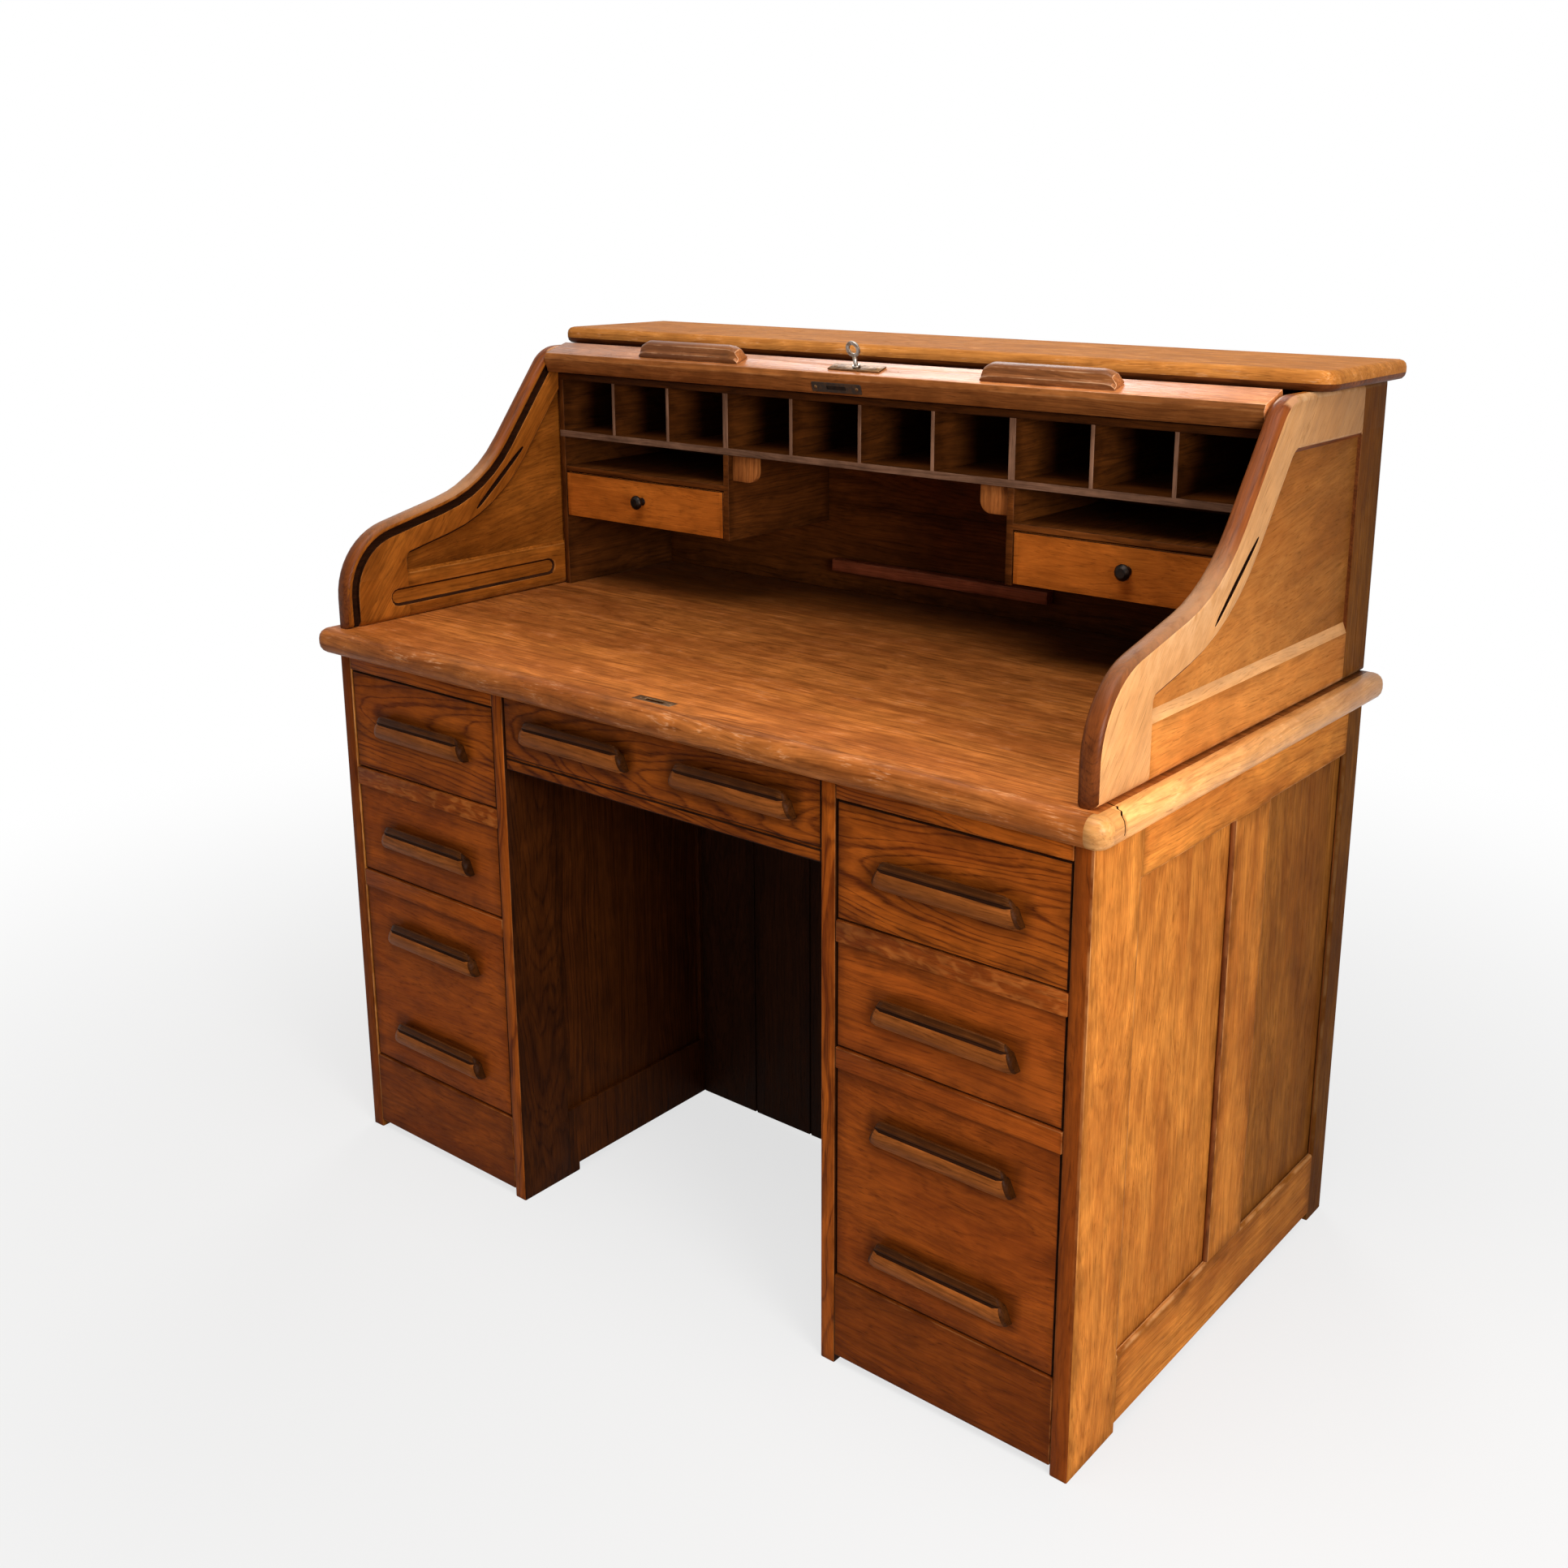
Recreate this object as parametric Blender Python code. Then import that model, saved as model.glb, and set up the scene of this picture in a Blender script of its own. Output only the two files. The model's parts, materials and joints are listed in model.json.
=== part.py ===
"""S-curve roll-top desk: two drawer pedestals, writing top, tambour case with pigeonholes.

Metres, +Z up. The origin is on the floor under the middle of the writing top, the drawers open
towards -Y. Every board that can be told apart is an object of its own.
"""

import math

import bmesh
import bpy
from mathutils import Matrix, Vector

# Fits
CLEARANCE = 0.0003          # between pieces that touch
DRAWER_GAP = 0.0012         # beside a drawer
REVEAL = 0.0018             # shadow line above and below a drawer front

# Writing top
TOP_WIDTH = 1.250
TOP_DEPTH = 0.710
TOP_THICK = 0.034
TOP_HEIGHT = 0.765          # writing surface above the floor
TOP_NOSE = 0.014
TOP_CORNER = 0.020          # in plan, at the front
OVERHANG_FRONT = 0.0245
OVERHANG_SIDE = 0.0245
OVERHANG_REAR = 0.010

# Pedestals
KNEE_HALF = 0.262           # half the width of the kneehole
SIDE_THICK = 0.022
INNER_THICK = 0.020
INNER_STILE = 0.085
INNER_RECESS = 0.006
FRONT_STILE = 0.103
MIDDLE_STILE = 0.094
REAR_STILE = 0.044
SIDE_TOP_RAIL = 0.067
SIDE_BOTTOM_RAIL = 0.101
FOOT_RISE = 0.012
PANEL_LIP = 0.007
PANEL_THICK = 0.010
PANEL_REBATE = 0.008
BACK_THICK = 0.012
TOP_RAIL_HEIGHT = 0.022
TOP_RAIL_DEPTH = 0.060
WEB_THICK = 0.025
WEB_FRONT = 0.060
WEB_RUNNER = 0.045
BASE_TOP = 0.120
BASE_WEB = 0.020
PLINTH_THICK = 0.020
FILE_OPENING = 0.268
MIDDLE_OPENING = 0.129

# Kneehole back
KNEE_BACK_SET = 0.366       # from the pedestal fronts
KNEE_BACK_THICK = 0.016
BOARD_GROOVE = 0.003
BOARD_GROOVE_DEEP = 0.0025
KNEE_BOARDS = 5

# Drawers
DRAWER_BACK_GAP = 0.0615    # from a pedestal drawer to the back board
DRAWER_FRONT = 0.020
DRAWER_RECESS = 0.002
DRAWER_WALL = 0.012
DRAWER_FLOOR = 0.008
DRAWER_TOP_DROP = 0.014
FILE_BODY_HEIGHT = 0.225
CENTRE_BACK_GAP = 0.034     # from the centre drawer to the kneehole back
CENTRE_FRONT_HEIGHT = 0.100
CENTRE_HEADROOM = 0.003
CENTRE_LIP = 0.018          # the front reaches this far below the drawer's bottom
CLEAT_HEIGHT = 0.013
CLEAT_WIDTH = 0.015
BEAD_WIDTH = 0.0025
BEAD_DEEP = 0.0018

# Drawer pulls
PULL_LENGTH = 0.190
PULL_HEIGHT = 0.036
PULL_DEPTH = 0.015
PULL_END = 0.007            # length over which an end is drawn in
PULL_RAKE = 0.011           # the lip is this much shorter than the foot at each end
CENTRE_PULL_X = 0.131
FILE_PULL_EDGE = 0.057      # from the file drawer's top and bottom to the middle of its pulls

# S-shaped ends: corners of the outline, measured from the foot of its front edge
S_THICK = 0.024
S_NOSE_RISE = 0.122
S_HOLLOW_RUN = 0.246
S_HOLLOW_RISE = 0.178
S_BROW_RUN = 0.389
S_HEIGHT = 0.365
S_NOSE_RADIUS = 0.100
S_HOLLOW_RADIUS = 0.205
S_BROW_RADIUS = 0.054
S_BAND = 0.052              # width of the curved frame round the recessed panel
S_PANEL_FRONT = 0.106
S_PANEL_DEEP = 0.005
S_BOTTOM_RAIL = 0.063
S_TOP_RAIL = 0.057
S_REAR_STILE = 0.075
S_BAR_FRONT = 0.075
S_BAR_REAR = 0.385
S_BAR_HEIGHT = 0.026
S_BAR_DEEP = 0.003

# Tambour groove and curtain
GROOVE_INSET = 0.016
GROOVE_WIDTH = 0.011
GROOVE_DEEP = 0.006
GROOVE_BACK = 0.026         # from the back of the ends to the groove's rear run
GROOVE_BACK_RADIUS = 0.040
GROOVE_FOOT = 0.035
SLAT_PITCH = 0.020
SLAT_THICK = 0.0085
TOP_RUN_START = 0.030       # from the brow's centre to the curtain's first slat
BACK_RUN_DROP = 0.022
BACK_RUN_FOOT = 0.030       # from the groove's lower end to the curtain's last slat
END_PLAY = 0.001

# Lead rail
RAIL_SLOPE = math.radians(18.0)
RAIL_WIDTH = 0.050
RAIL_THICK = 0.028
RAIL_NOSE = 0.006
TONGUE_HALF = math.radians(6.0)
LIFT_X = 0.292
LIFT_LENGTH = 0.188
LIFT_WIDTH = 0.024
LIFT_HEIGHT = 0.020
LIFT_END = 0.020
ESCUTCHEON_LENGTH = 0.084
ESCUTCHEON_WIDTH = 0.018
ESCUTCHEON_THICK = 0.002
KEY_SHAFT = 0.003
KEY_COLLAR = 0.0055
KEY_COLLAR_HEIGHT = 0.003
KEY_STEM = 0.012
KEY_BOW = 0.011
KEY_BOW_HOLE = 0.006
KEY_BOW_THICK = 0.0028
KEY_DEPTH = 0.010
STRIKE_LENGTH = 0.062
STRIKE_WIDTH = 0.016
STRIKE_THICK = 0.003
STRIKE_SLOT_LENGTH = 0.030
STRIKE_SLOT_WIDTH = 0.007
STRIKE_MORTISE = 0.014
STRIKE_SET = 0.012          # from the pedestal fronts to the middle of the plate

# Cap and backs
CAP_OVERHANG = 0.0195
CAP_THICK = 0.024
CAP_NOSE = 0.009
CAP_CORNER = 0.024          # in plan, at the front
CAP_SET = 0.066             # front edge behind the brow's corner
CAP_REAR = 0.006            # past the back of the ends
UPPER_BACK_THICK = 0.012
INNER_BACK_SET = 0.036      # from the back of the ends to the inner back's rear face
INNER_BACK_THICK = 0.006

# Pigeonholes
RACK_FRONT = 0.405          # from the pedestal fronts
RACK_BOARD = 0.010
RACK_DIVIDER = 0.006
RACK_HEADROOM = 0.040       # from the rack's top to the top of the ends
PIGEON_RISE = 0.096         # from the underside of the shelf to the rack's top
SECTION_HALF = 0.242
SIDE_HOLES = 3
MIDDLE_HOLES = 4
BOX_FLOOR_RISE = 0.106
BOX_BOARD = 0.008
SLOT_FLOOR_RISE = 0.185
SMALL_BACK_GAP = 0.0382     # from a small drawer to the inner back
SMALL_FRONT = 0.012
SMALL_WALL = 0.007
SMALL_FLOOR = 0.005
SMALL_OVERLAP = 0.006
KNOB_RADIUS = 0.0105
KNOB_SHANK = 0.0045
KNOB_LENGTH = 0.018
BRACKET_WIDTH = 0.045
BRACKET_HEIGHT = 0.037
BRACKET_THICK = 0.010
BRACKET_SET = 0.008
BRACKET_ROUND = 0.016
LEDGE_LEFT = -0.212
LEDGE_RIGHT = 0.168
LEDGE_RISE = 0.033
LEDGE_HEIGHT = 0.018
LEDGE_DEPTH = 0.018

# Places that follow from the sizes
PED_FRONT = OVERHANG_FRONT - TOP_DEPTH / 2
PED_REAR = TOP_DEPTH / 2 - OVERHANG_REAR
PED_OUT = TOP_WIDTH / 2 - OVERHANG_SIDE
PED_TOP = TOP_HEIGHT - TOP_THICK - CLEARANCE
BAY_IN = KNEE_HALF + INNER_THICK
BAY_OUT = PED_OUT - SIDE_THICK
BAY_BACK = PED_REAR - BACK_THICK
DRAWER_DEPTH = BAY_BACK - DRAWER_BACK_GAP - PED_FRONT - DRAWER_RECESS
CENTRE_DEPTH = KNEE_BACK_SET - CENTRE_BACK_GAP - DRAWER_RECESS
LOWER_WEB = BASE_TOP + FILE_OPENING
UPPER_WEB = LOWER_WEB + WEB_THICK + MIDDLE_OPENING
S_INNER = PED_OUT - S_THICK
CAP_HALF = PED_OUT + CAP_OVERHANG
CAP_FRONT = PED_FRONT + S_BROW_RUN + CAP_SET
S_FOOT = TOP_HEIGHT + CLEARANCE
S_TOP = TOP_HEIGHT + S_HEIGHT
INNER_BACK_REAR = PED_REAR - INNER_BACK_SET
INNER_BACK_FRONT = INNER_BACK_REAR - INNER_BACK_THICK
RACK_Y = PED_FRONT + RACK_FRONT
RACK_BACK = INNER_BACK_FRONT - CLEARANCE
RACK_HALF = S_INNER - CLEARANCE
SMALL_DRAWER_DEPTH = RACK_BACK - SMALL_BACK_GAP - RACK_Y
RACK_TOP = S_TOP - RACK_HEADROOM
SHELF_BOTTOM = RACK_TOP - PIGEON_RISE

# Colour as sRGB hex, roughness, metallic
FINISHES = {
    "top": ("B0682C", 0.38, 0.0),
    "front": ("9A5A22", 0.42, 0.0),
    "side": ("C88C48", 0.40, 0.0),
    "end": ("BE7C3A", 0.40, 0.0),
    "dark": ("5A3416", 0.55, 0.0),
    "inside": ("8A5626", 0.60, 0.0),
    "pull": ("7C4618", 0.40, 0.0),
    "small": ("B8702C", 0.45, 0.0),
    "iron": ("2E2823", 0.45, 0.8),
    "brass": ("6E5A34", 0.40, 0.9),
    "steel": ("B4AEA4", 0.30, 1.0),
}


def linear(channel):
    """sRGB channel, 0 to 1, as a linear value."""
    return channel / 12.92 if channel <= 0.04045 else ((channel + 0.055) / 1.055) ** 2.4


def finish(name, kind):
    """Own material for one object."""
    hex_code, rough, metal = FINISHES[kind]
    colour = [linear(int(hex_code[i:i + 2], 16) / 255) for i in (0, 2, 4)]
    mat = bpy.data.materials.new(name + " " + kind)
    mat.use_nodes = True
    shader = next(n for n in mat.node_tree.nodes if n.type == "BSDF_PRINCIPLED")
    shader.inputs["Base Color"].default_value = (*colour, 1.0)
    shader.inputs["Roughness"].default_value = rough
    shader.inputs["Metallic"].default_value = metal
    mat.diffuse_color = (*colour, 1.0)
    return mat


def loft(bm, rings):
    """Skin through rings of equal point counts, closed at both ends."""
    rows = [[bm.verts.new(p) for p in ring] for ring in rings]
    count = len(rows[0])
    faces = [bm.faces.new(rows[0]), bm.faces.new(rows[-1])]
    for a, b in zip(rows, rows[1:]):
        for i in range(count):
            j = (i + 1) % count
            faces.append(bm.faces.new((a[i], a[j], b[j], b[i])))
    bmesh.ops.recalc_face_normals(bm, faces=faces)


def box(bm, x, y, z):
    """Block between three pairs of limits."""
    corners = [(x[0], y[0]), (x[1], y[0]), (x[1], y[1]), (x[0], y[1])]
    loft(bm, [[(px, py, level) for px, py in corners] for level in z])


def plate_x(bm, outline, x):
    """Outline in Y and Z, drawn out along X."""
    loft(bm, [[(level, py, pz) for py, pz in outline] for level in x])


def plate_y(bm, outline, y):
    """Outline in X and Z, drawn out along Y."""
    loft(bm, [[(px, level, pz) for px, pz in outline] for level in y])


def lathe(bm, profile, segments, at, along, across):
    """Turned solid: radius and height pairs about an axis through a point."""
    side = along.cross(across)
    turn = [2 * math.pi * i / segments for i in range(segments)]
    loft(bm, [[at + along * h + (across * math.cos(a) + side * math.sin(a)) * r for a in turn]
              for r, h in profile])


def make(name, kind, bm, origin=(0.0, 0.0, 0.0), parent=None, smooth=False):
    """Object from a mesh in world places, with its origin at a point."""
    mesh = bpy.data.meshes.new(name)
    bmesh.ops.translate(bm, verts=bm.verts, vec=-Vector(origin))
    bm.to_mesh(mesh)
    bm.free()
    obj = bpy.data.objects.new(name, mesh)
    bpy.context.collection.objects.link(obj)
    obj.location = origin
    mesh.materials.append(finish(name, kind))
    if parent is not None:
        obj.parent = parent
        obj.matrix_parent_inverse = Matrix.Translation(-parent.location)
    if smooth:
        mesh.shade_smooth()
        mesh.set_sharp_from_angle(angle=math.radians(35))
    return obj


def settle(obj):
    """Applies an object's modifiers to its mesh."""
    graph = bpy.context.evaluated_depsgraph_get()
    mesh = bpy.data.meshes.new_from_object(obj.evaluated_get(graph))
    old = obj.data
    obj.modifiers.clear()
    obj.data = mesh
    bpy.data.meshes.remove(old)


def combine(obj, bm, operation="DIFFERENCE"):
    """Cuts a mesh in world places out of an unturned object, or joins it on."""
    mesh = bpy.data.meshes.new("tool")
    bm.to_mesh(mesh)
    bm.free()
    tool = bpy.data.objects.new("tool", mesh)
    tool.hide_render = True
    tool.display_type = "WIRE"
    bpy.context.collection.objects.link(tool)
    mod = obj.modifiers.new("combine", "BOOLEAN")
    mod.operation = operation
    mod.object = tool
    settle(obj)
    bpy.data.objects.remove(tool)


def round_edges(obj, width, segments):
    """Rounds all edges of a plain board."""
    mod = obj.modifiers.new("round", "BEVEL")
    mod.width = width
    mod.segments = segments
    mod.limit_method = "ANGLE"
    settle(obj)


def both(side, a, b):
    """Limits along X on the left (-1) or right (1) half."""
    return tuple(sorted((side * a, side * b)))


def shifted(path, distance):
    """Polyline moved to the right of its direction by a distance."""
    lines = []
    for a, b in zip(path, path[1:]):
        d = (b - a).normalized()
        lines.append((a + Vector((d.y, -d.x)) * distance, d))
    points = [lines[0][0]]
    for (p, d), (q, e) in zip(lines, lines[1:]):
        t = (q - p).cross(e) / d.cross(e)
        points.append(p + d * t)
    end, d = lines[-1]
    points.append(end + d * (path[-1] - path[-2]).length)
    points[-1] = path[-1] + Vector((d.y, -d.x)) * distance
    return points


def shifted_radii(path, radii, distance):
    """Fillet radii of the moved polyline: smaller on right turns, larger on left turns."""
    out = []
    for a, b, c, radius in zip(path, path[1:], path[2:], radii):
        turn = (b - a).cross(c - b)
        out.append(radius - distance if turn < 0 else radius + distance)
    return out


def rounded(path, radii, step=math.radians(7.5)):
    """Polyline with its inner corners turned into arcs."""
    points = [path[0]]
    for a, b, c, radius in zip(path, path[1:], path[2:], radii):
        d, e = (b - a).normalized(), (c - b).normalized()
        turn = math.atan2(d.cross(e), d.dot(e))
        if radius <= 0.0005:
            points.append(b)
            continue
        start = b - d * radius * math.tan(abs(turn) / 2)
        normal = Vector((-d.y, d.x)) * math.copysign(radius, turn)
        centre = start + normal
        steps = max(2, math.ceil(abs(turn) / step))
        for i in range(steps + 1):
            points.append(centre - Matrix.Rotation(turn * i / steps, 2) @ normal)
    points.append(path[-1])
    return points


def slab(bm, half, y, z, corner):
    """Board with its two front corners rounded in plan."""
    path = [Vector(p) for p in ((-half, y[1]), (-half, y[0]), (half, y[0]), (half, y[1]))]
    outline = rounded(path, [corner, corner])
    loft(bm, [[(p.x, p.y, level) for p in outline] for level in z])


def s_corners():
    """Corners of the S outline before rounding, front foot to back top."""
    return [Vector((PED_FRONT, S_FOOT)),
            Vector((PED_FRONT, TOP_HEIGHT + S_NOSE_RISE)),
            Vector((PED_FRONT + S_HOLLOW_RUN, TOP_HEIGHT + S_HOLLOW_RISE)),
            Vector((PED_FRONT + S_BROW_RUN, S_TOP - CLEARANCE)),
            Vector((PED_REAR, S_TOP - CLEARANCE))]


S_RADII = [S_NOSE_RADIUS, S_HOLLOW_RADIUS, S_BROW_RADIUS]


def brow_centre():
    """Centre of the upper bend in Y and Z, which the lead rail swings about."""
    path = s_corners()
    d = (path[3] - path[2]).normalized()
    turn = math.atan2(d.y, d.x)
    return Vector((path[3].x + S_BROW_RADIUS * math.tan(turn / 2), path[3].y - S_BROW_RADIUS))


def groove_path():
    """Centre line of the tambour groove with its radii, from the front foot to the back foot."""
    corners = s_corners()
    path = shifted(corners, GROOVE_INSET)
    radii = shifted_radii(corners, S_RADII, GROOVE_INSET)
    back = PED_REAR - GROOVE_BACK
    path[0] = Vector((path[0].x, path[0].y - 0.01))
    path[-1] = Vector((back, path[-1].y))
    path.append(Vector((back, TOP_HEIGHT + GROOVE_FOOT)))
    return path, radii + [GROOVE_BACK_RADIUS]


def groove_outline():
    """Closed outline of the groove in Y and Z."""
    path, radii = groove_path()
    half = GROOVE_WIDTH / 2
    edges = []
    for distance in (half, -half):
        edges.append(rounded(shifted(path, distance), shifted_radii(path, radii, distance)))
    return edges[0] + edges[1][::-1]


def s_panel_outline():
    """Closed outline of the recessed panel in Y and Z."""
    inner = shifted(s_corners(), S_BAND)
    low = TOP_HEIGHT + S_BOTTOM_RAIL
    high = S_TOP - S_TOP_RAIL
    front = PED_FRONT + S_PANEL_FRONT
    rear = PED_REAR - S_REAR_STILE
    slope = (inner[2] - inner[1]).normalized()
    steep = (inner[3] - inner[2]).normalized()
    nose = inner[1] + slope * ((front - inner[1].x) / slope.x)
    brow = inner[2] + steep * ((high - inner[2].y) / steep.y)
    path = [Vector((rear, low)), Vector((front, low)), nose, inner[2], brow,
            Vector((rear, high)), Vector((rear, low))]
    radii = [0.006, 0.012, S_HOLLOW_RADIUS + S_BAND, 0.030, 0.006]
    return rounded(path, radii)[:-1]


def bar_outline():
    """Round-ended bar routed into the lower rail of an end, in Y and Z."""
    radius = S_BAR_HEIGHT / 2
    level = TOP_HEIGHT + S_BOTTOM_RAIL / 2
    points = []
    for y, start in ((PED_FRONT + S_BAR_REAR - radius, -90), (PED_FRONT + S_BAR_FRONT + radius, 90)):
        for i in range(7):
            a = math.radians(start + 30 * i)
            points.append((y + radius * math.cos(a), level + radius * math.sin(a)))
    return points


def pull(name, at, parent):
    """Moulded wooden bar with a finger groove behind its lip and raked, drawn-in ends."""
    profile = [(0.0, -0.5), (0.5, -0.43), (0.97, -0.18), (1.0, -0.1), (0.94, -0.02), (0.74, 0.05),
               (0.76, 0.4), (0.66, 0.5), (0.46, 0.5), (0.34, 0.26), (0.0, 0.18)]
    rows = []
    for side in (-1, 1):
        steps = [(0.0, 0.72), (0.35, 0.9), (1.0, 1.0)]
        for inset, size in steps if side < 0 else steps[::-1]:
            rows.append([(at[0] + side * (PULL_LENGTH / 2 - PULL_END * inset - PULL_RAKE * (z + 0.5)),
                          at[1] - CLEARANCE - PULL_DEPTH * d * size, at[2] + PULL_HEIGHT * z * size)
                         for d, z in profile])
    bm = bmesh.new()
    loft(bm, rows)
    return make(name, "pull", bm, at, parent)


def drawer(name, kind, x, front, body_x, y, z, body_z, sizes):
    """Front board with an open box behind it; z is the front's, body_z the box's."""
    thick, wall, floor, depth = sizes
    bm = bmesh.new()
    box(bm, x, (front, front + thick), z)
    obj = make(name, kind, bm, ((x[0] + x[1]) / 2, front, (z[0] + z[1]) / 2))
    origin = obj.location.copy()
    obj.location = (0, 0, 0)
    obj.data.transform(Matrix.Translation(origin))
    bm = bmesh.new()
    box(bm, body_x, (y, front + depth), body_z)
    combine(obj, bm, "UNION")
    bm = bmesh.new()
    box(bm, (body_x[0] + wall, body_x[1] - wall), (front + thick, front + depth - wall),
        (body_z[0] + floor, max(z[1], body_z[1]) + 0.02))
    combine(obj, bm)
    obj.data.transform(Matrix.Translation(-origin))
    obj.location = origin
    return obj


def pedestal(side):
    """One pedestal's case: side frame with panels, inner side, back, rails and base."""
    tag = "right" if side > 0 else "left"
    rear_edge = PED_REAR - REAR_STILE
    width = (rear_edge - PED_FRONT - FRONT_STILE - MIDDLE_STILE) / 2
    first = PED_FRONT + FRONT_STILE
    bays = ((first, first + width), (rear_edge - width, rear_edge))
    low, high = SIDE_BOTTOM_RAIL, PED_TOP - SIDE_TOP_RAIL
    bm = bmesh.new()
    box(bm, both(side, BAY_OUT, PED_OUT), (PED_FRONT, PED_REAR), (0, PED_TOP))
    frame = make(tag + "_side_frame", "side", bm)
    bm = bmesh.new()
    through = both(side, BAY_OUT - 0.01, PED_OUT + 0.01)
    for bay in bays:
        box(bm, through, bay, (low, high))
    box(bm, through, (first, rear_edge), (-0.01, FOOT_RISE))
    combine(frame, bm)
    bm = bmesh.new()
    for bay in bays:
        box(bm, both(side, BAY_OUT - 0.01, PED_OUT - PANEL_LIP),
            (bay[0] - PANEL_REBATE, bay[1] + PANEL_REBATE), (low - PANEL_REBATE, high + PANEL_REBATE))
    combine(frame, bm)
    for part, bay in zip(("front", "rear"), bays):
        bm = bmesh.new()
        grow = PANEL_REBATE - CLEARANCE
        face = PED_OUT - PANEL_LIP - CLEARANCE
        box(bm, both(side, face - PANEL_THICK, face), (bay[0] - grow, bay[1] + grow),
            (low - grow, high + grow))
        make(f"{tag}_panel_{part}", "side", bm)

    bm = bmesh.new()
    box(bm, both(side, KNEE_HALF, BAY_IN), (PED_FRONT, PED_REAR), (0, PED_TOP))
    inner = make(tag + "_inner_side", "inside", bm)
    cleat_top = PED_TOP - CENTRE_HEADROOM - CENTRE_FRONT_HEIGHT + CENTRE_LIP - CLEARANCE
    cleat_front = PED_FRONT + DRAWER_RECESS + DRAWER_FRONT + REVEAL
    bm = bmesh.new()
    box(bm, both(side, KNEE_HALF - CLEAT_WIDTH, KNEE_HALF + INNER_THICK / 2),
        (cleat_front, PED_FRONT + KNEE_BACK_SET - CLEARANCE), (cleat_top - CLEAT_HEIGHT, cleat_top))
    combine(inner, bm, "UNION")
    bm = bmesh.new()
    panel = (PED_FRONT + INNER_STILE, PED_FRONT + KNEE_BACK_SET - INNER_RECESS)
    panel_top = cleat_top - CLEAT_HEIGHT - INNER_RECESS
    box(bm, both(side, KNEE_HALF - 0.01, KNEE_HALF + INNER_RECESS), panel, (low, panel_top))
    box(bm, both(side, KNEE_HALF - 0.01, BAY_IN + 0.01), (first, rear_edge), (-0.01, FOOT_RISE))
    combine(inner, bm)

    bay_x = both(side, BAY_IN + CLEARANCE, BAY_OUT - CLEARANCE)
    bm = bmesh.new()
    box(bm, bay_x, (BAY_BACK, PED_REAR), (FOOT_RISE, PED_TOP))
    make(tag + "_back", "dark", bm)
    bm = bmesh.new()
    box(bm, bay_x, (PED_FRONT, PED_FRONT + TOP_RAIL_DEPTH), (PED_TOP - TOP_RAIL_HEIGHT, PED_TOP))
    make(tag + "_top_rail", "front", bm)

    web_y = (PED_FRONT, BAY_BACK - CLEARANCE)
    hole_x = both(side, BAY_IN + WEB_RUNNER, BAY_OUT - WEB_RUNNER)
    hole_y = (PED_FRONT + WEB_FRONT, BAY_BACK - WEB_RUNNER)
    for part, level in (("lower", LOWER_WEB), ("upper", UPPER_WEB)):
        bm = bmesh.new()
        box(bm, bay_x, web_y, (level, level + WEB_THICK))
        web = make(f"{tag}_{part}_web", "front", bm)
        bm = bmesh.new()
        box(bm, hole_x, hole_y, (level - 0.01, level + WEB_THICK + 0.01))
        combine(web, bm)
    bm = bmesh.new()
    box(bm, bay_x, web_y, (FOOT_RISE, BASE_TOP))
    base = make(tag + "_base", "front", bm)
    bm = bmesh.new()
    box(bm, (bay_x[0] - 0.01, bay_x[1] + 0.01), (PED_FRONT + PLINTH_THICK, PED_REAR),
        (0, BASE_TOP - BASE_WEB))
    combine(base, bm)
    bm = bmesh.new()
    box(bm, hole_x, hole_y, (BASE_TOP - 2 * BASE_WEB, BASE_TOP + 0.01))
    combine(base, bm)


def pedestal_drawers(side):
    """Top, middle and file drawer of one pedestal with their pulls."""
    tag = "right" if side > 0 else "left"
    x = both(side, BAY_IN + DRAWER_GAP, BAY_OUT - DRAWER_GAP)
    front = PED_FRONT + DRAWER_RECESS
    sizes = (DRAWER_FRONT, DRAWER_WALL, DRAWER_FLOOR, DRAWER_DEPTH)
    middle = (x[0] + x[1]) / 2
    openings = (("top", UPPER_WEB + WEB_THICK, PED_TOP - TOP_RAIL_HEIGHT),
                ("middle", LOWER_WEB + WEB_THICK, UPPER_WEB),
                ("file", BASE_TOP, LOWER_WEB))
    for part, low, high in openings:
        name = f"{tag}_{part}_drawer"
        rise = FILE_BODY_HEIGHT if part == "file" else high - low - DRAWER_TOP_DROP
        obj = drawer(name, "front", x, front, x, front + DRAWER_FRONT / 2, (low + REVEAL, high - REVEAL),
                     (low + CLEARANCE, low + rise), sizes)
        levels = [(low + high) / 2]
        if part == "file":
            levels = [high - FILE_PULL_EDGE, low + FILE_PULL_EDGE]
        for i, level in enumerate(levels):
            ending = "" if len(levels) == 1 else ("_upper", "_lower")[i]
            pull(f"{tag}_{part}_pull{ending}", (middle, front, level), obj)


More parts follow.
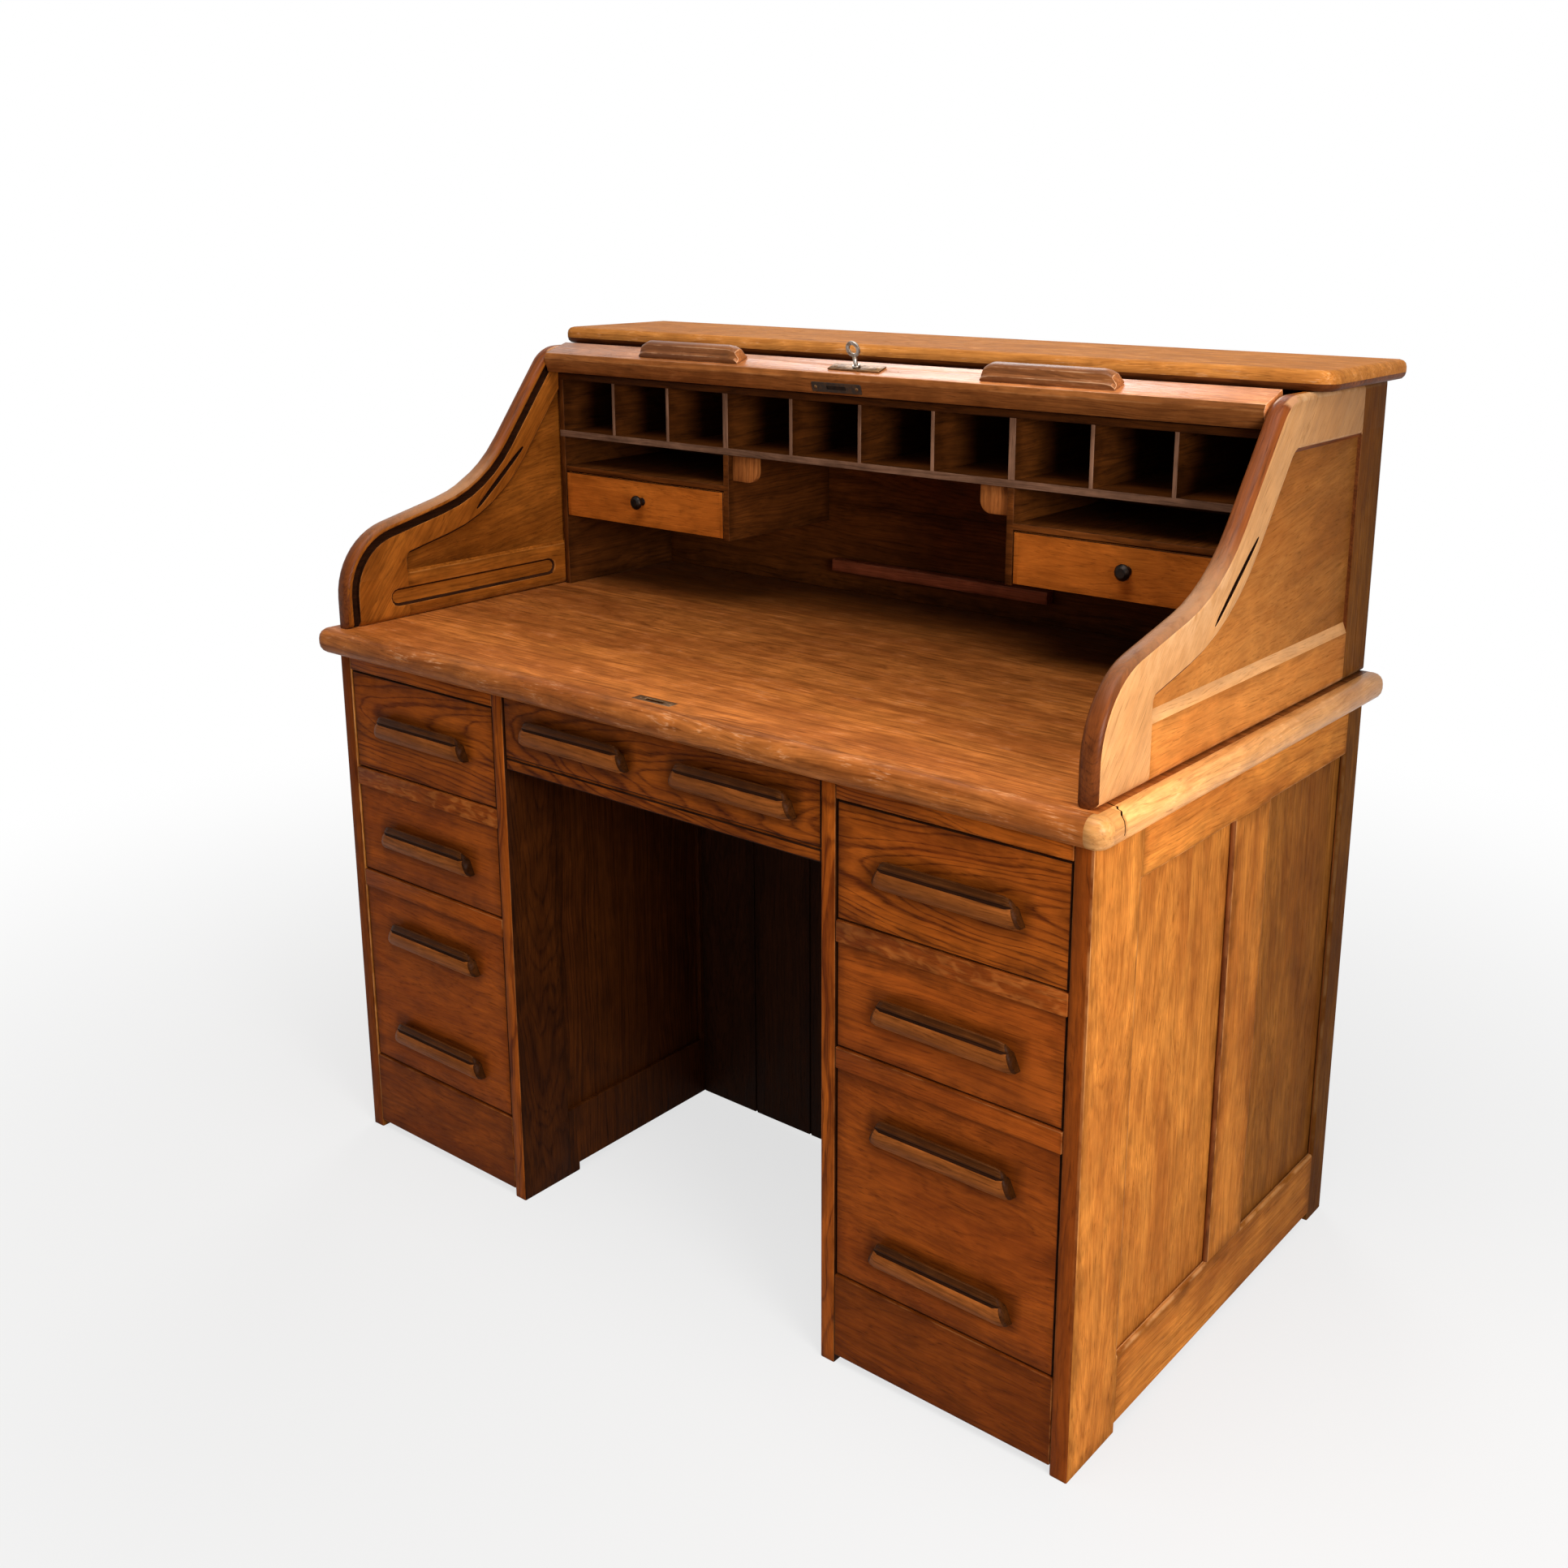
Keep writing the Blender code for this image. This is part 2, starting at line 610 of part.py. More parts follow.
def kneehole():
    """Board back of the kneehole and the centre drawer on its cleats."""
    bm = bmesh.new()
    half = KNEE_HALF - CLEARANCE
    face = PED_FRONT + KNEE_BACK_SET
    box(bm, (-half, half), (face, face + KNEE_BACK_THICK), (FOOT_RISE, PED_TOP))
    back = make("kneehole_back", "dark", bm)
    bm = bmesh.new()
    for i in range(1, KNEE_BOARDS):
        x = -half + 2 * half * i / KNEE_BOARDS
        box(bm, (x - BOARD_GROOVE / 2, x + BOARD_GROOVE / 2), (face - 0.01, face + BOARD_GROOVE_DEEP),
            (0, PED_TOP + 0.01))
    combine(back, bm)

    x = (DRAWER_GAP - KNEE_HALF, KNEE_HALF - DRAWER_GAP)
    front = PED_FRONT + DRAWER_RECESS
    high = PED_TOP - CENTRE_HEADROOM
    low = high - CENTRE_FRONT_HEIGHT
    floor = low + CENTRE_LIP
    sizes = (DRAWER_FRONT, DRAWER_WALL, DRAWER_FLOOR, CENTRE_DEPTH)
    obj = drawer("centre_drawer", "front", x, front, x, front + DRAWER_FRONT / 2, (low, high),
                 (floor, high - DRAWER_TOP_DROP), sizes)
    bm = bmesh.new()
    box(bm, (x[0] - 0.01, x[1] + 0.01), (front - 0.01, front + BEAD_DEEP),
        (floor - BEAD_WIDTH, floor))
    bmesh.ops.translate(bm, verts=bm.verts, vec=-obj.location)
    place = obj.location.copy()
    obj.location = (0, 0, 0)
    combine(obj, bm)
    obj.location = place
    for part, px in (("left", -CENTRE_PULL_X), ("right", CENTRE_PULL_X)):
        pull(f"centre_pull_{part}", (px, front, (floor + high) / 2), obj)


def writing_top():
    """Round-nosed slab with the strike plate of the lock let into it."""
    bm = bmesh.new()
    slab(bm, TOP_WIDTH / 2, (-TOP_DEPTH / 2, TOP_DEPTH / 2), (TOP_HEIGHT - TOP_THICK, TOP_HEIGHT),
         TOP_CORNER)
    top = make("writing_top", "top", bm)
    round_edges(top, TOP_NOSE, 4)
    y = PED_FRONT + STRIKE_SET
    half, wide = STRIKE_LENGTH / 2, STRIKE_WIDTH / 2
    bm = bmesh.new()
    box(bm, (-half - CLEARANCE, half + CLEARANCE), (y - wide - CLEARANCE, y + wide + CLEARANCE),
        (TOP_HEIGHT - STRIKE_THICK - CLEARANCE, TOP_HEIGHT + 0.01))
    combine(top, bm)
    slot_x, slot_y = STRIKE_SLOT_LENGTH / 2, STRIKE_SLOT_WIDTH / 2
    bm = bmesh.new()
    box(bm, (-slot_x, slot_x), (y - slot_y, y + slot_y),
        (TOP_HEIGHT - STRIKE_THICK - STRIKE_MORTISE, TOP_HEIGHT + 0.01))
    combine(top, bm)
    bm = bmesh.new()
    box(bm, (-half, half), (y - wide, y + wide), (TOP_HEIGHT - STRIKE_THICK, TOP_HEIGHT))
    plate = make("strike_plate", "iron", bm)
    bm = bmesh.new()
    box(bm, (-slot_x, slot_x), (y - slot_y, y + slot_y),
        (TOP_HEIGHT - 2 * STRIKE_THICK, TOP_HEIGHT + 0.01))
    combine(plate, bm)


def s_end(side):
    """S-shaped end with its groove, recessed panel on both faces and routed bar inside."""
    tag = "right" if side > 0 else "left"
    outline = rounded(s_corners(), S_RADII) + [Vector((PED_REAR, S_FOOT))]
    bm = bmesh.new()
    plate_x(bm, outline, both(side, S_INNER, PED_OUT))
    end = make(tag + "_s_end", "end", bm)
    bm = bmesh.new()
    plate_x(bm, groove_outline(), both(side, S_INNER - 0.01, S_INNER + GROOVE_DEEP))
    combine(end, bm)
    bm = bmesh.new()
    plate_x(bm, s_panel_outline(), both(side, S_INNER - 0.01, S_INNER + S_PANEL_DEEP))
    plate_x(bm, s_panel_outline(), both(side, PED_OUT - S_PANEL_DEEP, PED_OUT + 0.01))
    plate_x(bm, bar_outline(), both(side, S_INNER - 0.01, S_INNER + S_BAR_DEEP))
    combine(end, bm)


def upper_case():
    """Cap, outer back and inner back."""
    bm = bmesh.new()
    slab(bm, CAP_HALF, (CAP_FRONT, PED_REAR + CAP_REAR), (S_TOP, S_TOP + CAP_THICK), CAP_CORNER)
    cap = make("cap", "top", bm)
    round_edges(cap, CAP_NOSE, 3)
    half = S_INNER - CLEARANCE
    bm = bmesh.new()
    box(bm, (-half, half), (PED_REAR - UPPER_BACK_THICK, PED_REAR), (S_FOOT, S_TOP - CLEARANCE))
    make("upper_back", "dark", bm)
    bm = bmesh.new()
    box(bm, (-half, half), (INNER_BACK_FRONT, INNER_BACK_REAR), (S_FOOT, RACK_TOP))
    make("inner_back", "dark", bm)


def rack():
    """Pigeonholes: boards and dividers between two uprights that stand on the writing top."""
    top = RACK_TOP
    inside = RACK_HALF - RACK_BOARD
    shelf_top = SHELF_BOTTOM + RACK_BOARD
    bm = bmesh.new()
    box(bm, (-RACK_HALF, RACK_HALF), (RACK_Y, RACK_BACK), (S_FOOT, top))
    obj = make("pigeonhole_rack", "inside", bm)
    sections = ((-inside, -SECTION_HALF, SIDE_HOLES),
                (RACK_BOARD - SECTION_HALF, SECTION_HALF - RACK_BOARD, MIDDLE_HOLES),
                (SECTION_HALF, inside, SIDE_HOLES))
    through = (RACK_Y - 0.01, RACK_BACK + 0.01)
    bm = bmesh.new()
    box(bm, (-inside, inside), through, (S_FOOT - 0.01, SHELF_BOTTOM))
    for left, right, holes in sections:
        width = (right - left - RACK_DIVIDER * (holes - 1)) / holes
        for i in range(holes):
            x = left + i * (width + RACK_DIVIDER)
            box(bm, (x, x + width), through, (shelf_top, top - RACK_BOARD))
    combine(obj, bm)

    for side, tag in ((-1, "left"), (1, "right")):
        under_box(side, tag, inside)
        bracket(side, tag)
    bm = bmesh.new()
    level = TOP_HEIGHT + LEDGE_RISE
    box(bm, (LEDGE_LEFT, LEDGE_RIGHT), (RACK_BACK - LEDGE_DEPTH, RACK_BACK), (level, level + LEDGE_HEIGHT))
    make("rear_ledge", "inside", bm)


def under_box(side, tag, inside):
    """Letter slot over a small drawer, hung under the shelf beside the upright."""
    low = TOP_HEIGHT + BOX_FLOOR_RISE
    slot = TOP_HEIGHT + SLOT_FLOOR_RISE
    high = SHELF_BOTTOM - CLEARANCE
    outer = inside - CLEARANCE
    wall = SECTION_HALF - RACK_BOARD
    front = RACK_Y + SMALL_FRONT + REVEAL
    bm = bmesh.new()
    box(bm, both(side, wall, outer), (RACK_Y, RACK_BACK), (low, high))
    obj = make(tag + "_box", "inside", bm)
    bm = bmesh.new()
    box(bm, both(side, SECTION_HALF, outer + 0.01), (RACK_Y - 0.01, RACK_BACK + 0.01),
        (slot, high + 0.01))
    box(bm, both(side, SECTION_HALF, outer + 0.01), (RACK_Y - 0.01, RACK_BACK + 0.01),
        (low + BOX_BOARD, slot - BOX_BOARD))
    combine(obj, bm)
    bm = bmesh.new()
    box(bm, both(side, SECTION_HALF, outer + 0.01), (RACK_Y - 0.01, front),
        (low - 0.01, low + 2 * BOX_BOARD))
    combine(obj, bm)

    x = both(side, SECTION_HALF + DRAWER_GAP, outer - DRAWER_GAP)
    floor = low + BOX_BOARD
    sizes = (SMALL_FRONT, SMALL_WALL, SMALL_FLOOR, SMALL_DRAWER_DEPTH)
    part = drawer(tag + "_small_drawer", "small", x, RACK_Y, x, RACK_Y + SMALL_FRONT / 2,
                  (floor - SMALL_OVERLAP, slot - BOX_BOARD - REVEAL),
                  (floor + CLEARANCE, slot - BOX_BOARD - 2 * REVEAL), sizes)
    at = Vector(((x[0] + x[1]) / 2, RACK_Y - CLEARANCE, (floor + slot - BOX_BOARD) / 2))
    profile = [(KNOB_SHANK * 1.4, 0.0), (KNOB_SHANK, 0.25 * KNOB_LENGTH), (KNOB_SHANK, 0.4 * KNOB_LENGTH),
               (KNOB_RADIUS, 0.62 * KNOB_LENGTH), (KNOB_RADIUS, 0.78 * KNOB_LENGTH),
               (KNOB_RADIUS * 0.6, KNOB_LENGTH)]
    bm = bmesh.new()
    lathe(bm, profile, 14, at, Vector((0, -1, 0)), Vector((1, 0, 0)))
    make(tag + "_knob", "iron", bm, at, part, smooth=True)


def bracket(side, tag):
    """Small board under the shelf in the corner beside a box, with one round corner."""
    inner = SECTION_HALF - RACK_BOARD - CLEARANCE
    high = SHELF_BOTTOM - CLEARANCE
    path = [Vector(p) for p in ((inner, high), (inner, high - BRACKET_HEIGHT),
                                (inner - BRACKET_WIDTH, high - BRACKET_HEIGHT),
                                (inner - BRACKET_WIDTH, high))]
    outline = rounded(path, [0.0, BRACKET_ROUND])
    bm = bmesh.new()
    y = RACK_Y + BRACKET_SET
    plate_y(bm, [(side * p.x, p.y) for p in outline], (y, y + BRACKET_THICK))
    make(tag + "_bracket", "inside", bm)


def slats(count):
    """Section of the curtain along its run: canvas side flat, slats half round."""
    low, high = 0.0, SLAT_THICK
    points = [(count * SLAT_PITCH, low), (0.0, low)]
    for i in range(count):
        start = i * SLAT_PITCH
        for part, rise in ((0.03, 0.45), (0.16, 0.85), (0.34, 1.0), (0.66, 1.0), (0.84, 0.85), (0.97, 0.45)):
            points.append((start + part * SLAT_PITCH, high * rise))
    return points


def tambour():
    """Lead rail at the top of its run with its fittings, and the curtain stored behind it."""
    centre = brow_centre()
    pivot = Vector((0.0, centre.x, centre.y))
    inner_radius = S_BROW_RADIUS - GROOVE_INSET - GROOVE_WIDTH / 2 + CLEARANCE
    half = S_INNER - END_PLAY
    tongue = S_INNER + GROOVE_DEEP - END_PLAY
    low, high = S_BROW_RADIUS - RAIL_THICK, S_BROW_RADIUS
    wide = RAIL_WIDTH / 2
    outline = [(-wide, low), (wide, low), (wide, high), (RAIL_NOSE - wide, high), (-wide, high - RAIL_NOSE)]
    bm = bmesh.new()
    plate_x(bm, outline, (-half, half))
    rail = make("lead_rail", "top", bm)
    turns = [TONGUE_HALF * (i / 2 - 1) for i in range(5)]
    arc = [(r * math.sin(a), r * math.cos(a)) for r, sweep in
           ((inner_radius, turns), (inner_radius + SLAT_THICK, turns[::-1])) for a in sweep]
    for side in (-1, 1):
        bm = bmesh.new()
        plate_x(bm, arc, both(side, half - 0.004, tongue))
        combine(rail, bm, "UNION")
    bore = KEY_SHAFT + 2 * CLEARANCE
    bm = bmesh.new()
    lathe(bm, [(bore, high - KEY_DEPTH - 2 * CLEARANCE), (bore, high + 0.01)], 12, Vector(),
          Vector((0, 0, 1)), Vector((1, 0, 0)))
    combine(rail, bm)
    rail.location = pivot
    rail.rotation_euler = (RAIL_SLOPE, 0.0, 0.0)

    seat = high + CLEARANCE
    for side, tag in ((-1, "left"), (1, "right")):
        profile = [(-0.5, 0.0), (-0.5, 0.4), (-0.34, 0.5), (-0.28, 0.9), (-0.12, 1.0), (0.2, 1.0),
                   (0.34, 0.9), (0.4, 0.5), (0.5, 0.35), (0.5, 0.0)]
        turns = [math.radians(a) for a in (90, 50, 20, 0)]
        ends = [(LIFT_END * (1 - math.sin(a)), 0.3 + 0.7 * math.cos(a)) for a in turns]
        rows = [(-LIFT_LENGTH / 2 + x, s) for x, s in ends]
        rows += [(LIFT_LENGTH / 2 - x, s) for x, s in ends[::-1]]
        bm = bmesh.new()
        loft(bm, [[(side * LIFT_X + x, LIFT_WIDTH * u, seat + LIFT_HEIGHT * n * s) for u, n in profile]
                  for x, s in rows])
        on_rail(make(tag + "_lift", "pull", bm), rail)
    bm = bmesh.new()
    length, width = ESCUTCHEON_LENGTH / 2, ESCUTCHEON_WIDTH / 2
    box(bm, (-length, length), (-width, width), (seat, seat + ESCUTCHEON_THICK))
    plate = make("escutcheon", "iron", bm)
    bm = bmesh.new()
    lathe(bm, [(bore, seat - 0.01), (bore, seat + 0.01)], 12, Vector(), Vector((0, 0, 1)),
          Vector((1, 0, 0)))
    combine(plate, bm)
    on_rail(plate, rail)
    lock_key(seat + ESCUTCHEON_THICK + CLEARANCE, high, rail)

    path, _ = groove_path()
    reach = tongue
    floor = path[3].y - GROOVE_WIDTH / 2 + CLEARANCE
    start = centre.x + TOP_RUN_START
    count = int((path[-1].x - GROOVE_BACK_RADIUS - start) / SLAT_PITCH)
    bm = bmesh.new()
    plate_x(bm, [(start + s, floor + n) for s, n in slats(count)], (-reach, reach))
    make("tambour_top_run", "front", bm, (0.0, start, floor))
    wall = path[-1].x - GROOVE_WIDTH / 2 + CLEARANCE
    head = path[3].y - GROOVE_BACK_RADIUS - BACK_RUN_DROP
    count = int((head - TOP_HEIGHT - GROOVE_FOOT - BACK_RUN_FOOT) / SLAT_PITCH)
    bm = bmesh.new()
    plate_x(bm, [(wall + n, head - s) for s, n in slats(count)], (-reach, reach))
    make("tambour_back_run", "front", bm, (0.0, wall, head))


def on_rail(obj, rail):
    """Places a fitting that was made in the rail's own frame."""
    obj.parent = rail


def lock_key(seat, face, rail):
    """Key with a ring bow, its collar resting on the escutcheon."""
    up, across = Vector((0, 0, 1)), Vector((1, 0, 0))
    tip = face - KEY_DEPTH
    collar = seat + KEY_COLLAR_HEIGHT
    stem = collar + KEY_STEM
    bm = bmesh.new()
    lathe(bm, [(KEY_SHAFT, tip), (KEY_SHAFT, seat), (KEY_COLLAR, seat), (KEY_COLLAR, collar),
               (KEY_SHAFT, collar), (KEY_SHAFT, stem)], 12, Vector(), up, across)
    key = make("lock_key", "steel", bm)
    middle = Vector((0, 0, stem + KEY_BOW - KEY_SHAFT / 2))
    bm = bmesh.new()
    lathe(bm, [(KEY_BOW, -KEY_BOW_THICK / 2), (KEY_BOW, KEY_BOW_THICK / 2)], 20, middle,
          Vector((0, 1, 0)), across)
    combine(key, bm, "UNION")
    bm = bmesh.new()
    lathe(bm, [(KEY_BOW_HOLE, -0.01), (KEY_BOW_HOLE, 0.01)], 14, middle, Vector((0, 1, 0)), across)
    combine(key, bm)
    on_rail(key, rail)


def main():
    for obj in list(bpy.data.objects):
        bpy.data.objects.remove(obj)
    writing_top()
    for side in (-1, 1):
        pedestal(side)
        pedestal_drawers(side)
        s_end(side)
    kneehole()
    upper_case()
    rack()
    tambour()


main()
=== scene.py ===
"""Looks of an S-curve roll-top desk in honey oak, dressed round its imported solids.

Each solid is copied, its corners are eased and it is sawn into the boards it is glued up from. Every
board carries its own grain, so that the oak materials show rings, pores and rays in its direction.
"""

import json
import logging
import math
import random
import zlib
from dataclasses import dataclass
from enum import Enum
from functools import lru_cache
from typing import Callable, ClassVar, Optional, Sequence, Union

import bmesh
import bpy
import numpy as np
from mathutils import Matrix, Quaternion, Vector

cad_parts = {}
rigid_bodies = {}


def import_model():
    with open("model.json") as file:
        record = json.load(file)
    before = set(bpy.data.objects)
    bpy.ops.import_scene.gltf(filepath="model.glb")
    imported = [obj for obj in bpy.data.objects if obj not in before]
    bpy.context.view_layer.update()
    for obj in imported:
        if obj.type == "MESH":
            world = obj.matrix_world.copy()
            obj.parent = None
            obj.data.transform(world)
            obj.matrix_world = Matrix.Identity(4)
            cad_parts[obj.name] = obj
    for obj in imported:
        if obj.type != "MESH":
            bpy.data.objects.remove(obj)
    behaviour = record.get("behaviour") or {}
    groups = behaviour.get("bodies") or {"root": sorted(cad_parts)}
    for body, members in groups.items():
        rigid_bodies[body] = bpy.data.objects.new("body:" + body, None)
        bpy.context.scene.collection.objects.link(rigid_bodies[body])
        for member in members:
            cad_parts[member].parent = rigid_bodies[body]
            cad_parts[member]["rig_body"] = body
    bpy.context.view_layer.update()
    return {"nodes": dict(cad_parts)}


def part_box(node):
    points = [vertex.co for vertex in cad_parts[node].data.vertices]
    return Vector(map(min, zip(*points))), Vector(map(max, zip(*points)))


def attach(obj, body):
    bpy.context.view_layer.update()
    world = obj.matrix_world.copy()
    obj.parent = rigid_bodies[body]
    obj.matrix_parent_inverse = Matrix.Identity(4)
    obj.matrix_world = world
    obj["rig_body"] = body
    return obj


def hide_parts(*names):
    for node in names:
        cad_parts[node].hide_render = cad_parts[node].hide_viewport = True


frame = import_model()

log = logging.getLogger("desk")

X = Vector((1.0, 0.0, 0.0))
Y = Vector((0.0, 1.0, 0.0))
Z = Vector((0.0, 0.0, 1.0))

Where = Callable[[Vector, Vector], bool]


class Cut(Enum):
    """How a board was sawn from the log, which sets where its pith lies."""

    PLAIN = "plain"
    RIFT = "rift"
    QUARTER = "quarter"


class Side(Enum):
    """The two halves of the desk."""

    LEFT = -1
    RIGHT = 1

    @property
    def tag(self) -> str:
        """Start of the names of this half's pieces."""
        return self.name.lower() + "_"


def linear(code: str) -> tuple[float, float, float, float]:
    """Turns an sRGB colour into linear light.

    Args:
        code: Six hex digits.

    Returns:
        Red, green, blue and full alpha.
    """
    parts = [int(code[i:i + 2], 16) / 255 for i in (0, 2, 4)]
    light = [c / 12.92 if c <= 0.04045 else ((c + 0.055) / 1.055) ** 2.4 for c in parts]
    return (light[0], light[1], light[2], 1.0)


def add(tree: bpy.types.NodeTree, kind: str, values: Optional[dict] = None, **settings) -> bpy.types.Node:
    """Adds a node with its settings, values and links.

    Args:
        tree: Tree the node goes into.
        kind: Blender's name of the node.
        values: Input name or number to a constant or to the socket that feeds it.
        settings: Properties of the node.

    Returns:
        The new node.
    """
    made = tree.nodes.new(kind)
    for key, value in settings.items():
        setattr(made, key, value)
    for key, value in (values or {}).items():
        if isinstance(value, bpy.types.NodeSocket):
            tree.links.new(value, made.inputs[key])
        else:
            made.inputs[key].default_value = value
    return made


def shader_of(name: str) -> tuple[bpy.types.Material, bpy.types.NodeTree, bpy.types.Node]:
    """Starts a material.

    Args:
        name: What the material is.

    Returns:
        The material, its tree and its main shader.
    """
    material = bpy.data.materials.new(name)
    material.use_nodes = True
    tree = material.node_tree
    return material, tree, next(n for n in tree.nodes if n.type == "BSDF_PRINCIPLED")


@dataclass(frozen=True)
class OakFinish:
    """Stained and shellacked oak.

    To the eye: golden brown with darker year rings full of open pores, arches where the board was sawn
    through the middle of the log, pale silky rays where it was sawn on the quarter, old dirt and painted shade
    along the joints and a thin worn line on the corners, which on some edges is a painted highlight.
    """

    name: str
    light: str
    deep: str
    stain: str
    worn: str
    slot: str
    figure: float = 0.3
    streak: float = 0.45
    patches: float = 0.5
    grime: float = 0.5
    joint: float = 0.7
    fleck: float = 0.0
    wear: float = 0.3
    mottle: float = 0.45
    scuff: float = 0.0
    rough: float = 0.45
    gloss: float = 0.07
    ring: float = 4.2
    even: float = 0.0

    def material(self) -> bpy.types.Material:
        """Builds the node tree.

        Returns:
            The material.
        """
        material, tree, shader = shader_of(self.name)
        grain = add(tree, "ShaderNodeAttribute", attribute_name="grain").outputs["Vector"]
        rim = add(tree, "ShaderNodeAttribute", attribute_name="rim").outputs["Vector"]
        board = add(tree, "ShaderNodeAttribute", attribute_name="board").outputs["Vector"]

        # The log is not straight: its heart wanders by about 9 mm over 300 mm
        slow = add(tree, "ShaderNodeVectorMath", {0: grain, 1: (3.2, 13.0, 13.0)}, operation="MULTIPLY")
        wander = add(tree, "ShaderNodeTexNoise", {"Vector": slow.outputs[0], "Scale": 1.0, "Detail": 2.5,
                                                  "Roughness": 0.55})
        shift = add(tree, "ShaderNodeVectorMath",
                    {0: wander.outputs["Color"], 1: (0.0, 0.034, 0.034), 2: (0.0, -0.017, -0.017)},
                    operation="MULTIPLY_ADD")
        bent = add(tree, "ShaderNodeVectorMath", {0: grain, 1: shift.outputs[0]}, operation="ADD").outputs[0]
        across = add(tree, "ShaderNodeVectorMath", {0: bent, 1: (0.0, 1.0, 1.0)}, operation="MULTIPLY")
        radius = add(tree, "ShaderNodeVectorMath", {0: across.outputs[0]}, operation="LENGTH").outputs["Value"]

        # Year rings, 2 to 3 mm in the wood, drawn wider so that they show; good and poor years differ
        years = add(tree, "ShaderNodeTexNoise", {"W": radius, "Scale": 110.0, "Detail": 1.0},
                    noise_dimensions="1D")
        count = add(tree, "ShaderNodeMath", {0: radius, 1: 1000.0 / self.ring}, operation="MULTIPLY")
        count = add(tree, "ShaderNodeMath", {0: years.outputs["Fac"], 1: 1.6, 2: count.outputs[0]},
                    operation="MULTIPLY_ADD")
        year = add(tree, "ShaderNodeMath", {0: count.outputs[0]}, operation="FRACT").outputs[0]
        spring = add(tree, "ShaderNodeValToRGB", {0: year})
        spring.color_ramp.elements[0].color = (1.0, 1.0, 1.0, 1.0)
        spring.color_ramp.elements[1].color = (0.75, 0.75, 0.75, 1.0)
        for place, level in ((0.1, 0.85), (0.26, 0.2), (0.52, 0.04), (0.86, 0.12)):
            spring.color_ramp.elements.new(place).color = (level, level, level, 1.0)
        spring = spring.outputs["Color"]

        # Open pores: 0.3 mm wide and 5 to 15 mm long in the wood, drawn 1.3 mm by 30 mm so that they show
        fine = add(tree, "ShaderNodeVectorMath", {0: bent, 1: (33.0, 770.0, 770.0)}, operation="MULTIPLY")
        pore = add(tree, "ShaderNodeTexNoise", {"Vector": fine.outputs[0], "Scale": 1.0, "Detail": 1.5,
                                                "Roughness": 0.6})
        pore = add(tree, "ShaderNodeMapRange", {0: pore.outputs["Fac"], 1: 0.5, 2: 0.68},
                   interpolation_type="SMOOTHSTEP").outputs[0]
        ringed = add(tree, "ShaderNodeMath", {0: spring, 1: 0.75, 2: 0.25}, operation="MULTIPLY_ADD")
        pore = add(tree, "ShaderNodeMath", {0: pore, 1: ringed.outputs[0]}, operation="MULTIPLY").outputs[0]

        # Long fibre streaks, 6 mm by 200 mm, and threads of 2 mm by 60 mm
        long = add(tree, "ShaderNodeVectorMath", {0: bent, 1: (5.0, 170.0, 170.0)}, operation="MULTIPLY")
        fibre = add(tree, "ShaderNodeTexNoise", {"Vector": long.outputs[0], "Scale": 1.0, "Detail": 2.0,
                                                 "Roughness": 0.6})
        fibre = add(tree, "ShaderNodeMapRange", {0: fibre.outputs["Fac"], 1: 0.34, 2: 0.72},
                    interpolation_type="SMOOTHSTEP").outputs[0]
        short = add(tree, "ShaderNodeVectorMath", {0: bent, 1: (16.0, 480.0, 480.0)}, operation="MULTIPLY")
        thread = add(tree, "ShaderNodeTexNoise", {"Vector": short.outputs[0], "Scale": 1.0, "Detail": 1.0})
        thread = add(tree, "ShaderNodeMapRange", {0: thread.outputs["Fac"], 1: 0.36, 2: 0.68},
                     interpolation_type="SMOOTHSTEP").outputs[0]

        # Stain took unevenly, in clouds of 60 by 200 mm, and figure comes and goes along a board
        broad = add(tree, "ShaderNodeVectorMath", {0: grain, 1: (4.6, 14.0, 14.0)}, operation="MULTIPLY")
        patch = add(tree, "ShaderNodeTexNoise", {"Vector": broad.outputs[0], "Scale": 1.0, "Detail": 4.0,
                                                 "Roughness": 0.6, "Distortion": 0.4})
        patch = add(tree, "ShaderNodeMapRange", {0: patch.outputs["Fac"], 1: 0.32, 2: 0.7},
                    interpolation_type="SMOOTHSTEP").outputs[0]
        strong = add(tree, "ShaderNodeMath", {0: patch, 1: 0.6 * self.figure, 2: 0.5 * self.figure},
                     operation="MULTIPLY_ADD")
        lines = add(tree, "ShaderNodeMath", {0: spring, 1: strong.outputs[0]}, operation="MULTIPLY")
        lines = add(tree, "ShaderNodeMath", {0: fibre, 1: self.streak, 2: lines.outputs[0]},
                    operation="MULTIPLY_ADD")
        lines = add(tree, "ShaderNodeMath", {0: thread, 1: 0.5 * self.streak, 2: lines.outputs[0]},
                    operation="MULTIPLY_ADD", use_clamp=True)
        colour = add(tree, "ShaderNodeMix", {0: lines.outputs[0], 6: linear(self.light), 7: linear(self.deep)},
                     data_type="RGBA").outputs[2]
        amount = add(tree, "ShaderNodeMath", {0: patch, 1: self.patches}, operation="MULTIPLY")
        colour = add(tree, "ShaderNodeMix", {0: amount.outputs[0], 6: colour, 7: linear(self.stain)},
                     data_type="RGBA").outputs[2]
        amount = add(tree, "ShaderNodeMath", {0: pore, 1: 0.5}, operation="MULTIPLY")
        dark = tuple(0.42 * c for c in linear(self.deep)[:3]) + (1.0,)
        colour = add(tree, "ShaderNodeMix", {0: amount.outputs[0], 6: colour, 7: dark},
                     data_type="RGBA").outputs[2]

